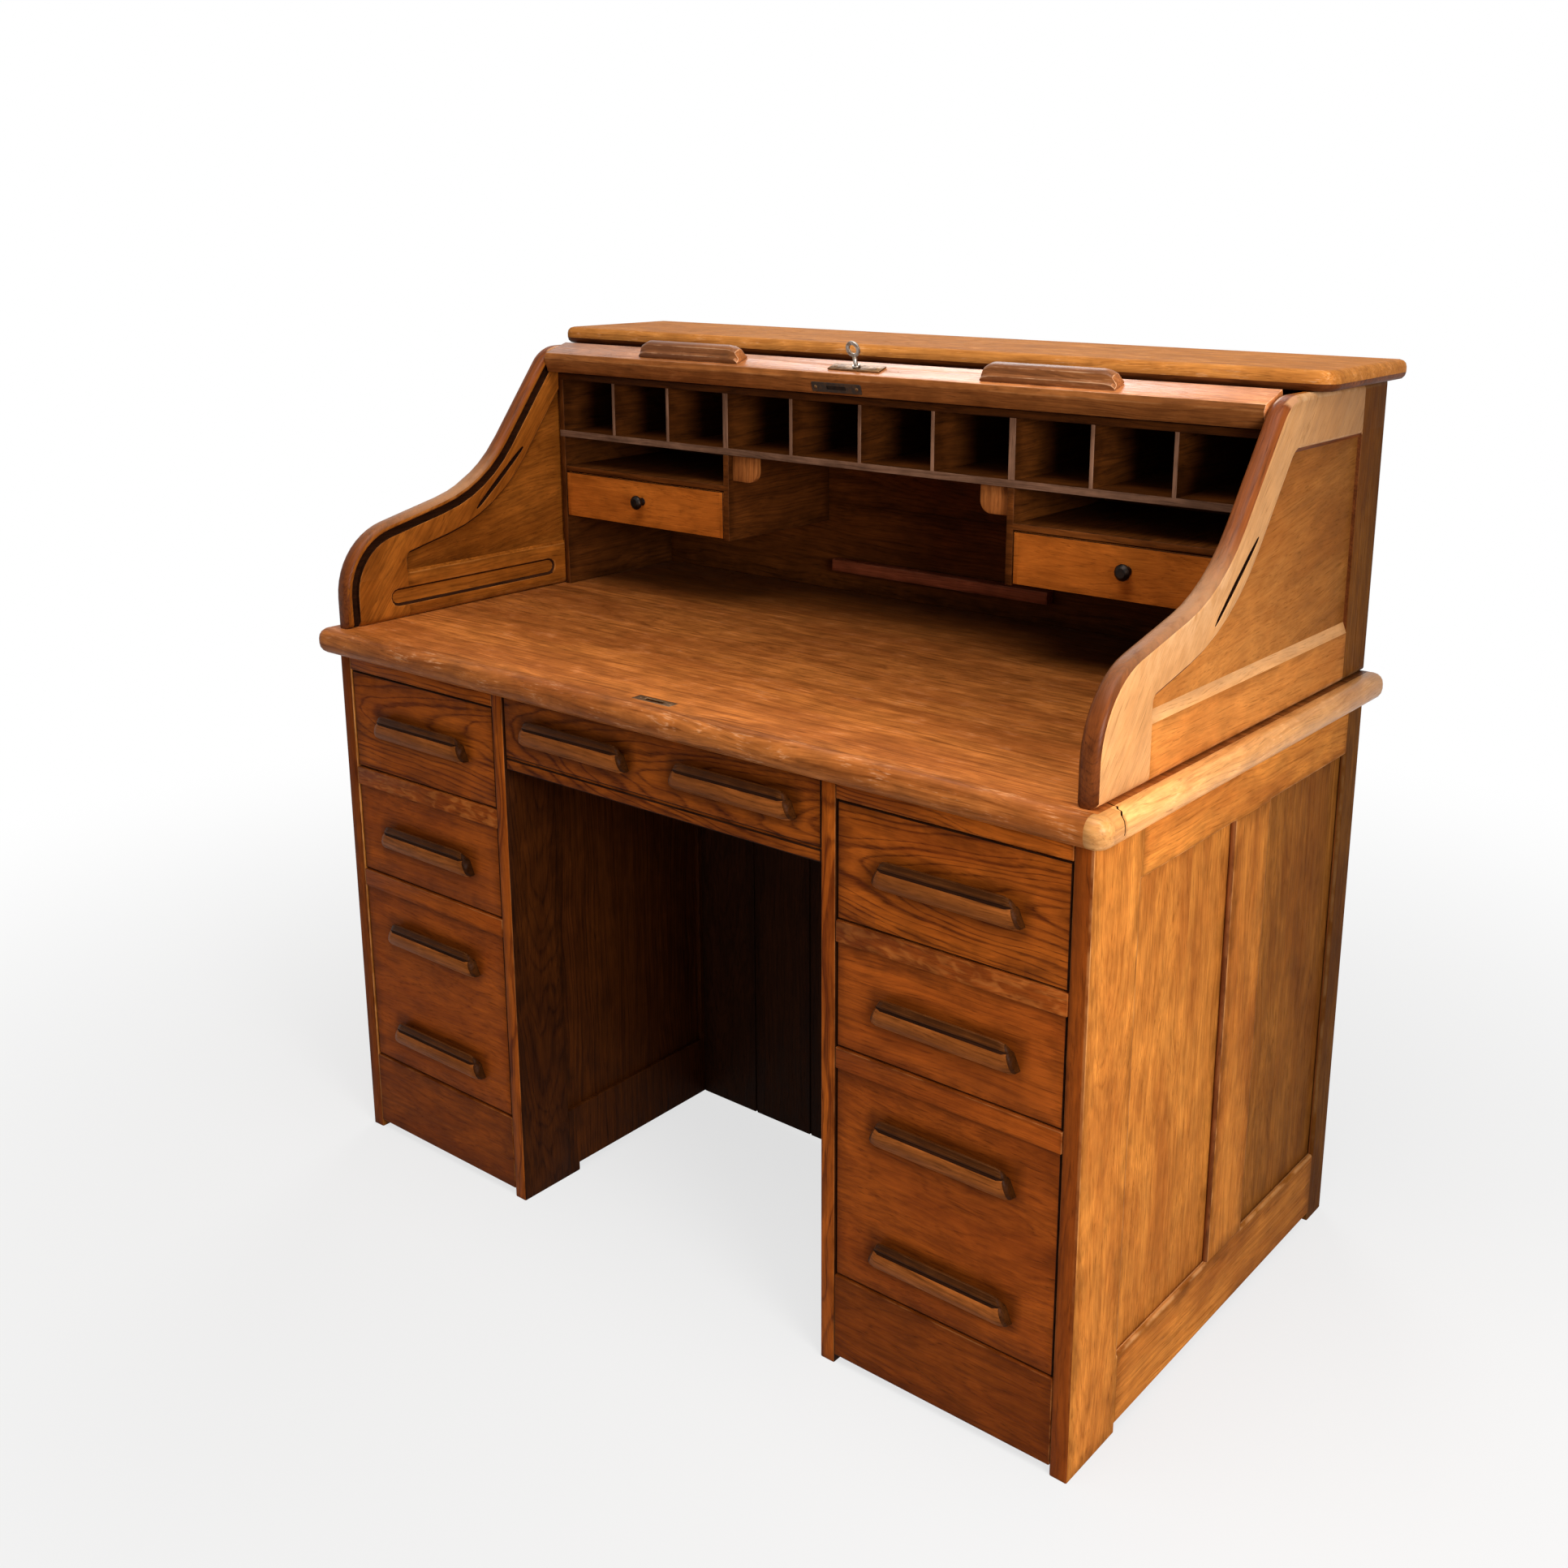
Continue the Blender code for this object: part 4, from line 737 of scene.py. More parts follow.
    def finish(self, slot: Optional[str] = None) -> bpy.types.Object:
        """Sorts the faces to their boards and puts the piece in its node's place.

        Args:
            slot: Not used.

        Returns:
            The piece.
        """
        self._soften()
        bm = self.bm
        bmesh.ops.triangulate(bm, faces=bm.faces)
        finishes: list[Finish] = []
        of_face = []
        for face in bm.faces:
            middle, normal = face.calc_center_median(), face.normal
            number = next(i for i, b in enumerate(self.boards) if b.where is None or b.where(middle, normal))
            finish = self.boards[number].finish
            if finish not in finishes:
                finishes.append(finish)
            face.material_index = finishes.index(finish)
            of_face.append(number)
        mesh = bpy.data.meshes.new(self.node + "_piece")
        bm.to_mesh(mesh)
        bm.free()
        for name in ("custom_normal", "soft"):
            if name in mesh.attributes:
                mesh.attributes.remove(mesh.attributes[name])
        for finish in finishes:
            mesh.materials.append(material_of(finish))
        mark(mesh, self.boards, of_face)
        piece = bpy.data.objects.new(self.node + "_piece", mesh)
        bpy.context.scene.collection.objects.link(piece)
        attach(piece, frame["nodes"][self.node]["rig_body"])
        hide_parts(self.node)
        log.info("%s: %d boards, %d triangles", piece.name, len(self.boards), len(mesh.polygons))
        return piece


def prism(outline: Sequence[Vector], along: Vector) -> bmesh.types.BMesh:
    """Draws an outline out into a solid.

    Args:
        outline: Its corners in order.
        along: How far and which way.

    Returns:
        The solid.
    """
    bm = bmesh.new()
    rows = [[bm.verts.new(p + shift) for p in outline] for shift in (Vector(), along)]
    count = len(outline)
    bm.faces.new(rows[0])
    bm.faces.new(rows[1])
    for i in range(count):
        j = (i + 1) % count
        bm.faces.new((rows[0][i], rows[0][j], rows[1][j], rows[1][i]))
    bmesh.ops.recalc_face_normals(bm, faces=bm.faces)
    return bm


def loft(rows: Sequence[Sequence[Vector]]) -> bmesh.types.BMesh:
    """Joins rows of points into a closed solid.

    Args:
        rows: Sections in order, each with the same number of points.

    Returns:
        The solid.
    """
    bm = bmesh.new()
    made = [[bm.verts.new(p) for p in row] for row in rows]
    count = len(rows[0])
    for one, two in zip(made, made[1:]):
        for i in range(count):
            j = (i + 1) % count
            bm.faces.new((one[i], one[j], two[j], two[i]))
    bm.faces.new(made[0])
    bm.faces.new(made[-1])
    bmesh.ops.recalc_face_normals(bm, faces=bm.faces)
    return bm


def from_path(point: Vector, path: Sequence[Vector]) -> float:
    """Distance of a point from a chain of straight stretches, all in one plane.

    Args:
        point: The point.
        path: Ends of the stretches, in order.

    Returns:
        The distance in metres.
    """
    best = 1.0
    for a, b in zip(path, path[1:]):
        along = b - a
        t = min(1.0, max(0.0, (point - a).dot(along) / along.length_squared))
        best = min(best, (a + along * t - point).length)
    return best


def above(axis: int, level: float) -> Where:
    """Test for what lies beyond a level along an axis."""
    return lambda middle, normal: middle[axis] > level


def below(axis: int, level: float) -> Where:
    """Test for what lies before a level along an axis."""
    return lambda middle, normal: middle[axis] < level


def strips(work: Workpiece, axis: int, edges: Sequence[float], finish: Finish, grain: Vector, face: Vector,
           tone: float = 0.0, cut: Cut = Cut.PLAIN) -> None:
    """Saws a piece into parallel boards.

    Args:
        work: The workpiece.
        axis: Axis across the boards.
        edges: Places of the joints, rising.
        finish: Finish of the boards.
        grain: Direction of their grain.
        face: Direction of their main face.
        tone: Lighter or darker than other pieces.
        cut: How the boards were sawn, every third one otherwise.
    """
    line = Vector([1.0 if i == axis else 0.0 for i in range(3)])
    ends = list(edges) + [work.high[axis]]
    start = work.low[axis]
    for i, end in enumerate(ends):
        if i < len(edges):
            work.saw(line * end, line)
        low, high = Vector(work.low), Vector(work.high)
        low[axis], high[axis] = start, end
        kind = cut if i % 3 else (Cut.RIFT if cut is Cut.PLAIN else Cut.PLAIN)
        work.board(f" strip {i}", finish, grain, face, kind, below(axis, end) if i < len(edges) else None, tone,
                   low, high)
        start = end


def rounded(wide: float, tall: float, radius: float, steps: int = 3) -> list[tuple[float, float]]:
    """Outline of a rectangle with rounded corners.

    Args:
        wide: Its width.
        tall: Its height.
        radius: Radius of the corners.
        steps: Steps round each corner.

    Returns:
        Points round the middle, in order.
    """
    points = []
    for quarter in range(4):
        sx, sy = ((1, 1), (-1, 1), (-1, -1), (1, -1))[quarter]
        for i in range(steps + 1):
            turn = (quarter + i / steps) * math.pi / 2
            points.append((sx * (wide / 2 - radius) + radius * math.cos(turn),
                           sy * (tall / 2 - radius) + radius * math.sin(turn)))
    return points


def fit(name: str, shape: bmesh.types.BMesh, body: str, boards: Sequence[Board]) -> bpy.types.Object:
    """Adds a fitting that stands for none of the solids.

    Args:
        name: Name of the piece.
        shape: Its form.
        body: Body that it rides on.
        boards: Its finishes, the last of them for what the others leave.

    Returns:
        The piece.
    """
    bmesh.ops.triangulate(shape, faces=shape.faces)
    of_face = [next(i for i, b in enumerate(boards) if b.where is None or b.where(f.calc_center_median(), f.normal))
               for f in shape.faces]
    for face, number in zip(shape.faces, of_face):
        face.material_index = number
    mesh = bpy.data.meshes.new(name)
    shape.to_mesh(mesh)
    shape.free()
    for board in boards:
        mesh.materials.append(material_of(board.finish))
    mark(mesh, boards, of_face)
    piece = bpy.data.objects.new(name, mesh)
    bpy.context.scene.collection.objects.link(piece)
    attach(piece, body)
    log.info("%s: %d triangles", name, len(mesh.polygons))
    return piece


def head_tree() -> bpy.types.NodeTree:
    """Geometry tree that puts a domed screw or nail head on every point.

    Returns:
        The tree; its points carry the turn of their head.
    """
    name = "fastener heads"
    if name in bpy.data.node_groups:
        return bpy.data.node_groups[name]
    tree = bpy.data.node_groups.new(name, "GeometryNodeTree")
    for label, kind in (("Points", "NodeSocketGeometry"), ("Radius", "NodeSocketFloat"), ("Rise", "NodeSocketFloat"),
                        ("Slot", "NodeSocketFloat"), ("Finish", "NodeSocketMaterial")):
        tree.interface.new_socket(label, in_out="INPUT", socket_type=kind)
    tree.interface.new_socket("Geometry", in_out="OUTPUT", socket_type="NodeSocketGeometry")
    given = add(tree, "NodeGroupInput").outputs
    ball = add(tree, "GeometryNodeMeshUVSphere", {"Segments": 14, "Rings": 7, "Radius": 1.0})
    flat = add(tree, "ShaderNodeCombineXYZ", {0: given["Radius"], 1: given["Radius"], 2: given["Rise"]})
    dome = add(tree, "GeometryNodeTransform", {"Geometry": ball.outputs["Mesh"], "Scale": flat.outputs[0]})
    long = add(tree, "ShaderNodeMath", {0: given["Radius"], 1: 3.0}, operation="MULTIPLY")
    size = add(tree, "ShaderNodeCombineXYZ", {0: long.outputs[0], 1: given["Slot"], 2: given["Rise"]})
    blade = add(tree, "GeometryNodeMeshCube", {"Size": size.outputs[0]})
    lift = add(tree, "ShaderNodeCombineXYZ", {0: 0.0, 1: 0.0, 2: given["Rise"]})
    blade = add(tree, "GeometryNodeTransform", {"Geometry": blade.outputs["Mesh"], "Translation": lift.outputs[0]})
    cut = add(tree, "GeometryNodeMeshBoolean", {"Mesh 1": dome.outputs[0], "Mesh 2": blade.outputs[0]},
              operation="DIFFERENCE")
    slotted = add(tree, "FunctionNodeCompare", {0: given["Slot"], 1: 1e-5}, data_type="FLOAT",
                  operation="GREATER_THAN")
    head = add(tree, "GeometryNodeSwitch", {"Switch": slotted.outputs[0], "False": dome.outputs[0],
                                            "True": cut.outputs["Mesh"]}, input_type="GEOMETRY")
    turn = add(tree, "GeometryNodeInputNamedAttribute", {"Name": "turn"}, data_type="FLOAT_VECTOR")
    turn = add(tree, "FunctionNodeEulerToRotation", {0: turn.outputs["Attribute"]})
    row = add(tree, "GeometryNodeInstanceOnPoints", {"Points": given["Points"], "Instance": head.outputs[0],
                                                     "Rotation": turn.outputs[0]})
    row = add(tree, "GeometryNodeRealizeInstances", {"Geometry": row.outputs[0]})
    row = add(tree, "GeometryNodeSetMaterial", {"Geometry": row.outputs[0], "Material": given["Finish"]})
    add(tree, "NodeGroupOutput", {"Geometry": row.outputs[0]})
    return tree


def heads(name: str, body: str, points: Sequence[tuple[Vector, Vector, float]], radius: float, rise: float,
          slot: float, finish: MetalFinish) -> bpy.types.Object:
    """Sets screw or nail heads.

    Args:
        name: Name of the piece.
        body: Body that the heads ride on.
        points: Place, outward direction and turn of each head.
        radius: Radius of a head.
        rise: How far its dome stands out.
        slot: Width of the driver's slot, or none for nails.
        finish: Metal of the heads.

    Returns:
        The piece.
    """
    mesh = bpy.data.meshes.new(name)
    mesh.from_pydata([p for p, _, _ in points], [], [])
    turns = [(n.to_track_quat("Z", "Y") @ Quaternion(Z, twist)).to_euler() for _, n, twist in points]
    layer = mesh.attributes.new("turn", "FLOAT_VECTOR", "POINT")
    layer.data.foreach_set("vector", [angle for turn in turns for angle in turn])
    piece = bpy.data.objects.new(name, mesh)
    bpy.context.scene.collection.objects.link(piece)
    tree = head_tree()
    modifier = piece.modifiers.new("heads", "NODES")
    modifier.node_group = tree
    inputs = {"Radius": radius, "Rise": rise, "Slot": slot, "Finish": material_of(finish)}
    for item in tree.interface.items_tree:
        if item.name in inputs:
            modifier[item.identifier] = inputs[item.name]
    graph = bpy.context.evaluated_depsgraph_get()
    mesh = bpy.data.meshes.new_from_object(piece.evaluated_get(graph))
    piece.modifiers.clear()
    piece.data = mesh
    bm = bmesh.new()
    bm.from_mesh(mesh)
    bmesh.ops.triangulate(bm, faces=bm.faces)
    bm.to_mesh(mesh)
    bm.free()
    middle = points[0][0]
    span = Vector((radius, radius, radius))
    mark(mesh, [Board(name, finish, middle - span, middle + span, X, Z)], [0] * len(mesh.polygons))
    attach(piece, body)
    log.info("%s: %d heads, %d triangles", name, len(points), len(mesh.polygons))
    return piece


@dataclass
class Pedestal:
    """One pedestal: side frame and panels, inner side, back, rails, webs and base."""

    side: Side
    front_stile: float = 0.103
    middle_stile: float = 0.094
    rear_stile: float = 0.044
    top_rail: float = 0.067
    bottom_rail: float = 0.101
    rebate: float = 0.008
    inner_stile: float = 0.085
    web_front: float = 0.060

    def build(self) -> None:
        """Makes all pieces of the pedestal."""
        self.side_frame()
        self.panels()
        self.inner_side()
        self.back()
        self.rails()
        self.base()

    def _bays(self) -> tuple[float, float, float, float, float, float]:
        """Edges of the two openings in the side frame along Y, then their foot and head."""
        low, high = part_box(self.side.tag + "side_frame")
        first, last = low.y + self.front_stile, high.y - self.rear_stile
        width = (last - first - self.middle_stile) / 2
        return first, first + width, last - width, last, self.bottom_rail, high.z - self.top_rail

    def side_frame(self) -> None:
        """Stiles and rails round the two panels, with a dark front edge and a rubbed front corner."""
        work = Workpiece(self.side.tag + "side_frame")
        first, second, third, last, foot, head = self._bays()
        outer = work.high.x if self.side is Side.RIGHT else work.low.x
        low, high = work.low, work.high

        def window(p: Vector, d: Vector) -> bool:
            """Whether an edge runs round a panel on the outside."""
            return abs(p.x - outer) < 1e-4 and first - 1e-4 < p.y < last + 1e-4 and foot - 1e-4 < p.z < head + 1e-4

        def corner(p: Vector, d: Vector) -> bool:
            """Whether an edge is the upright front corner."""
            return abs(p.x - outer) < 1e-4 and abs(p.y - low.y) < 1e-4 and abs(d.z) > 0.9

        work.ease(0.0042, 3, window)
        work.ease(0.0034, 3, corner)
        work.ease(0.0018, 2)
        for y in (first, second, third, last):
            work.saw((0, y, 0), Y)
        for z in (foot, head):
            work.saw((0, 0, z), Z)
        out = X * self.side.value

        def reveal(p: Vector, n: Vector) -> bool:
            """Whether a face is the wall of an opening, between the frame's face and the panel."""
            inside = first - 1e-4 < p.y < last + 1e-4 and foot - 1e-4 < p.z < head + 1e-4
            return inside and abs(n.x) < 0.75

        # Painted light and shade: the front edge is dark partly from its stain, partly as shade; the sill looks up and
        # is painted paler; the reveal walls are painted shade; the stiles and rails darken towards the rear as painted
        # shade
        work.board(" edge", PLAIN_OAK, Z, -Y, Cut.RIFT, lambda p, n: n.y < -0.6 and p.y < low.y + 0.003, -0.3)
        work.board(" sill", PAINTED_LIGHT_HONEY_OAK, Y, Z, Cut.RIFT, lambda p, n: reveal(p, n) and n.z > 0.3, -0.2,
                   fade=(0, -1.2, 0))
        work.board(" reveal", SHADED_EDGE_OAK, Z, -Y, Cut.RIFT, lambda p, n: reveal(p, n) and n.y < 0.3, 0.1)
        work.board(" front stile", SIDE_OAK, Z, out, Cut.PLAIN, below(1, first), 0.2,
                   high=(high.x, first, high.z), fade=(0, -0.6, 0.1))
        work.board(" rear stile", SIDE_OAK, Z, out, Cut.RIFT, above(1, last), -0.78, low=(low.x, last, low.z))
        work.board(" top rail", SIDE_OAK, Y, out, Cut.RIFT, above(2, head), 0.1,
                   (low.x, first, head), (high.x, last, high.z), (0, -1.3, 0))
        work.board(" bottom rail", SIDE_OAK, Y, out, Cut.RIFT, below(2, foot), -0.16,
                   (low.x, first, low.z), (high.x, last, foot), (0, -0.9, 0))
        work.board(" middle stile", SIDE_OAK, Z, out, Cut.RIFT, None, -0.02,
                   (low.x, second, foot), (high.x, third, head), (0, -1.4, 0))
        work.finish()

    def panels(self) -> None:
        """Two panels, each of two glued boards, set in the frame."""
        # Painted shade: the rear panel is darker, and both panels darken towards the rear and lighten upwards
        for part, tone, seam, fade in (("front", 0.0, 0.58, -0.5), ("rear", -0.58, 0.4, -1.0)):
            work = Workpiece(f"{self.side.tag}panel_{part}")
            work.ease(0.0006, 1)
            low, high = Vector(work.low), Vector(work.high)
            inner_low = (low.x, low.y + self.rebate, low.z + self.rebate)
            inner_high = (high.x, high.y - self.rebate, high.z - self.rebate)
            joint = low.y + seam * (high.y - low.y)
            work.saw((0, joint, 0), Y)
            out = X * self.side.value
            for name, cut, where in ((" a", Cut.PLAIN, below(1, joint)), (" b", Cut.RIFT, None)):
                work.board(name, SIDE_OAK, Z, out, cut, where, tone, inner_low, inner_high, (0, fade, 0.1))
            work.finish()

    def inner_side(self) -> None:
        """Wall towards the kneehole: a front stile, a recessed board and the centre drawer's cleat."""
        work = Workpiece(self.side.tag + "inner_side")
        low, high = Vector(work.low), Vector(work.high)
        work.ease(0.0015, 2)
        stile = low.y + self.inner_stile
        work.saw((0, stile, 0), Y)
        out = X * -self.side.value
        work.board(" edge", FRONT_OAK, Z, -Y, Cut.RIFT, lambda p, n: n.y < -0.8 and p.y < low.y + 0.002)
        # The kneehole side is darker, partly as painted shade
        work.board(" stile", KNEE_OAK, Z, out, Cut.PLAIN, below(1, stile), -0.35, high=(high.x, stile, high.z))
        work.board(" board", KNEE_OAK, Z, out, Cut.RIFT, None, -0.25, low=(low.x, stile, low.z))
        work.finish()

    def back(self) -> None:
        """Back of upright boards."""
        work = Workpiece(self.side.tag + "back")
        work.ease(0.001, 1)
        third = (work.high.x - work.low.x) / 3
        strips(work, 0, (work.low.x + third, work.low.x + 2.1 * third), BACK_BOARDS, Z, Y, 0.0)
        work.finish()

    def rails(self) -> None:
        """Rail above the drawers and the two webs between them."""
        work = Workpiece(self.side.tag + "top_rail").ease(0.0012, 2)
        work.board("", FRONT_OAK, X, -Y, Cut.RIFT).finish()
        for part, finish, tone in (("upper", RAIL_OAK, 0.1), ("lower", PLAIN_OAK, 0.0)):
            work = Workpiece(f"{self.side.tag}{part}_web")
            work.ease(0.0014, 2, lambda p, d: p.y > work.low.y + 1e-4 or p.z > work.low.z + 1e-4)
            front = work.low.y + self.web_front
            work.saw((0, front, 0), Y)
            high = work.high
            work.board(" rail", finish, X, -Y, Cut.QUARTER, below(1, front), tone, high=(high.x, front, high.z))
            work.board(" runners", RAW_OAK, Y, Z, Cut.RIFT, None, -0.25)
            work.finish()

    def base(self) -> None:
        """Plinth board with the bottom web behind it."""
        work = Workpiece(self.side.tag + "base").ease(0.0014, 2)
        plinth = work.low.y + 0.0205
        work.saw((0, plinth, 0), Y)
        high = work.high
        work.board(" plinth", PLAIN_OAK, X, -Y, Cut.PLAIN, below(1, plinth), -0.34, high=(high.x, plinth, high.z))
        work.board(" web", RAW_OAK, Y, Z, Cut.RIFT, None, -0.25)
        work.finish()


@dataclass
class Drawer:
    """A drawer: stained front, bare box behind it, and its wooden pulls or knob."""

    node: str
    finish: OakFinish = FRONT_OAK
    cut: Cut = Cut.PLAIN
    tone: float = 0.0
    front: float = 0.020
    wall: float = 0.012
    pulls: Sequence[str] = ()
    slot: str = "oak_front"
    gap: float = 0.0018
    close: float = 0.0
    reach: float = 0.013
    # Darkening round the pulls: old dirt and painted shade
    dirt: float = 0.42

    # Section of a pull, as shares of its depth and height, and how its ends draw in
    SECTION: ClassVar = ((0.0, -0.5), (0.44, -0.48), (0.76, -0.4), (0.93, -0.26), (1.0, -0.08), (0.99, 0.06),
                         (0.92, 0.16), (0.82, 0.2), (0.8, 0.235), (0.85, 0.265), (0.85, 0.33), (0.79, 0.36),
                         (0.8, 0.42), (0.7, 0.49), (0.56, 0.5), (0.42, 0.4), (0.34, 0.26), (0.0, 0.2))
    ENDS: ClassVar = ((0.0, 0.74), (0.3, 0.9), (1.0, 1.0))

    def build(self) -> None:
        """Makes the drawer and its pulls."""
        work = Workpiece(self.node)
        low, high = Vector(work.low), Vector(work.high)
        behind = low.y + self.front
        for vert in work.bm.verts:
            if self.close and vert.co.z > high.z - 1e-4 and vert.co.y < behind + 1e-4:
                vert.co.z += self.close

        def shut(p: Vector) -> bool:
            """Whether a point lies on the front's upper edge, where it meets its rail closely."""
            return self.close > 0 and p.y < low.y + 1e-4 and p.z > high.z

        work.ease(self.gap, 2, lambda p, d: p.y < low.y + 1e-4 and not shut(p))
        work.ease(0.0011, 2, lambda p, d: not shut(p))
        work.saw((0, behind, 0), Y)
        work.saw((0, high.y - self.wall, 0), Y)
        for x in (low.x + self.wall, high.x - self.wall):
            work.saw((x, 0, 0), X)
        for pull in self.pulls:
            self.halo(work, pull)
        # Painted shade: the eased rim of the front is dark, as the gap round it
        work.board(" gap", SHADE_OAK, X, -Y, Cut.RIFT,
                   lambda p, n: p.y < low.y + self.gap and n.y > -0.96 and not (self.close and n.z > 0.3), 0.35)
        work.board(" front", self.finish, X, -Y, self.cut,
                   lambda p, n: p.y < behind - 1e-4 and n.y < 0.5, self.tone, high=(high.x, behind, high.z))
        work.board(" back", RAW_OAK, X, Y, Cut.RIFT, above(1, high.y - self.wall), -0.05,
                   low=(low.x, high.y - self.wall, low.z))
        work.board(" left", RAW_OAK, Y, -X, Cut.RIFT, below(0, low.x + self.wall), 0.02,
                   (low.x, behind, low.z), (low.x + self.wall, high.y, high.z))
        work.board(" right", RAW_OAK, Y, X, Cut.RIFT, above(0, high.x - self.wall), -0.02,
                   (high.x - self.wall, behind, low.z), high)
        work.board(" floor", RAW_OAK, X, Z, Cut.PLAIN, None, -0.12, (low.x, behind, low.z))
        work.finish(self.slot)
        for pull in self.pulls:
            self.pull(pull)

    def halo(self, work: Workpiece, pull: str) -> None:
        """Darkens the front round a pull with old dirt and painted shade, which fade out over a finger's width.

        Args:
            work: The drawer.
            pull: Solid of the pull.
        """
        low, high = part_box(pull)
        for axis, line in ((0, X), (2, Z)):
            for level in (low[axis] - self.reach, low[axis], high[axis], high[axis] + self.reach):
                work.saw(line * level, line)
        for vert in work.bm.verts:
            if vert.co.y < work.low.y + 1e-4 and all(low[i] - 1e-5 < vert.co[i] < high[i] + 1e-5 for i in (0, 2)):
                vert[work.dirt] = self.dirt

    def pull(self, node: str) -> None:
        """Makes a wooden bar pull with dirt and painted shade in its finger groove, a lip in painted shade and darker
        ends.

        Args:
            node: Solid of the pull.
        """
        low, high = (Vector(v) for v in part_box(node))
        deep, tall, long = high.y - low.y, high.z - low.z, high.x - low.x
        middle = (low + high) / 2
        rows = []
        for side in (-1, 1):
            for inset, size in self.ENDS if side < 0 else self.ENDS[::-1]:
                rows.append([Vector((middle.x + side * (long / 2 - 0.010 * inset - 0.012 * (z + 0.5)),
                                     high.y - deep * d * size, middle.z + tall * z * size))
                             for d, z in self.SECTION])
        work = Workpiece(node, shape=loft(rows)).ease(0.0006, 2, lambda p, d: abs(d.x) > 0.9)

        def dirty(p: Vector, n: Vector) -> bool:
            """Whether a face lies in the groove under the lip or in the finger hollow behind it."""
            share = (p.z - middle.z) / tall
            return 0.17 < share < 0.25 and p.y > low.y + 0.1 * deep or p.y > high.y - 0.4 * deep and share > 0.16

        # Painted shade in the groove and on the lip; darker ends; the face darkens most at its right end, less at its
        # top and left, as dirt and painted shade
        work.board(" right end", PULL_OAK, X, -Y, Cut.RIFT, lambda p, n: n.x > 0.35, -0.84)
        work.board(" groove", SHADE_OAK, X, -Y, Cut.RIFT, dirty, 0.2)
        work.board(" left end", PULL_OAK, X, -Y, Cut.RIFT, lambda p, n: n.x < -0.35, -0.6)
        work.board(" lip", PULL_OAK, X, -Y, Cut.RIFT, lambda p, n: (p.z - middle.z) / tall > 0.25, -0.68)
        work.board("", PULL_OAK, X, -Y, Cut.RIFT, None, 0.08, low - Vector((0.012, 0.0, 0.04)),
                   high + Vector((0.0, 0.0, 0.012))).finish("pull_oak")


@dataclass
class Kneehole:
    """Boarded back of the kneehole."""

    boards: int = 5

    def build(self) -> None:
        """Makes the back of upright boards."""
        work = Workpiece("kneehole_back").ease(0.0006, 1)
        width = (work.high.x - work.low.x) / self.boards
        # The back is painted near black as shade
        strips(work, 0, [work.low.x + width * i for i in range(1, self.boards)], SHADED_DARK_BOARDS, Z, -Y, 0.0, Cut.RIFT)
        work.finish()


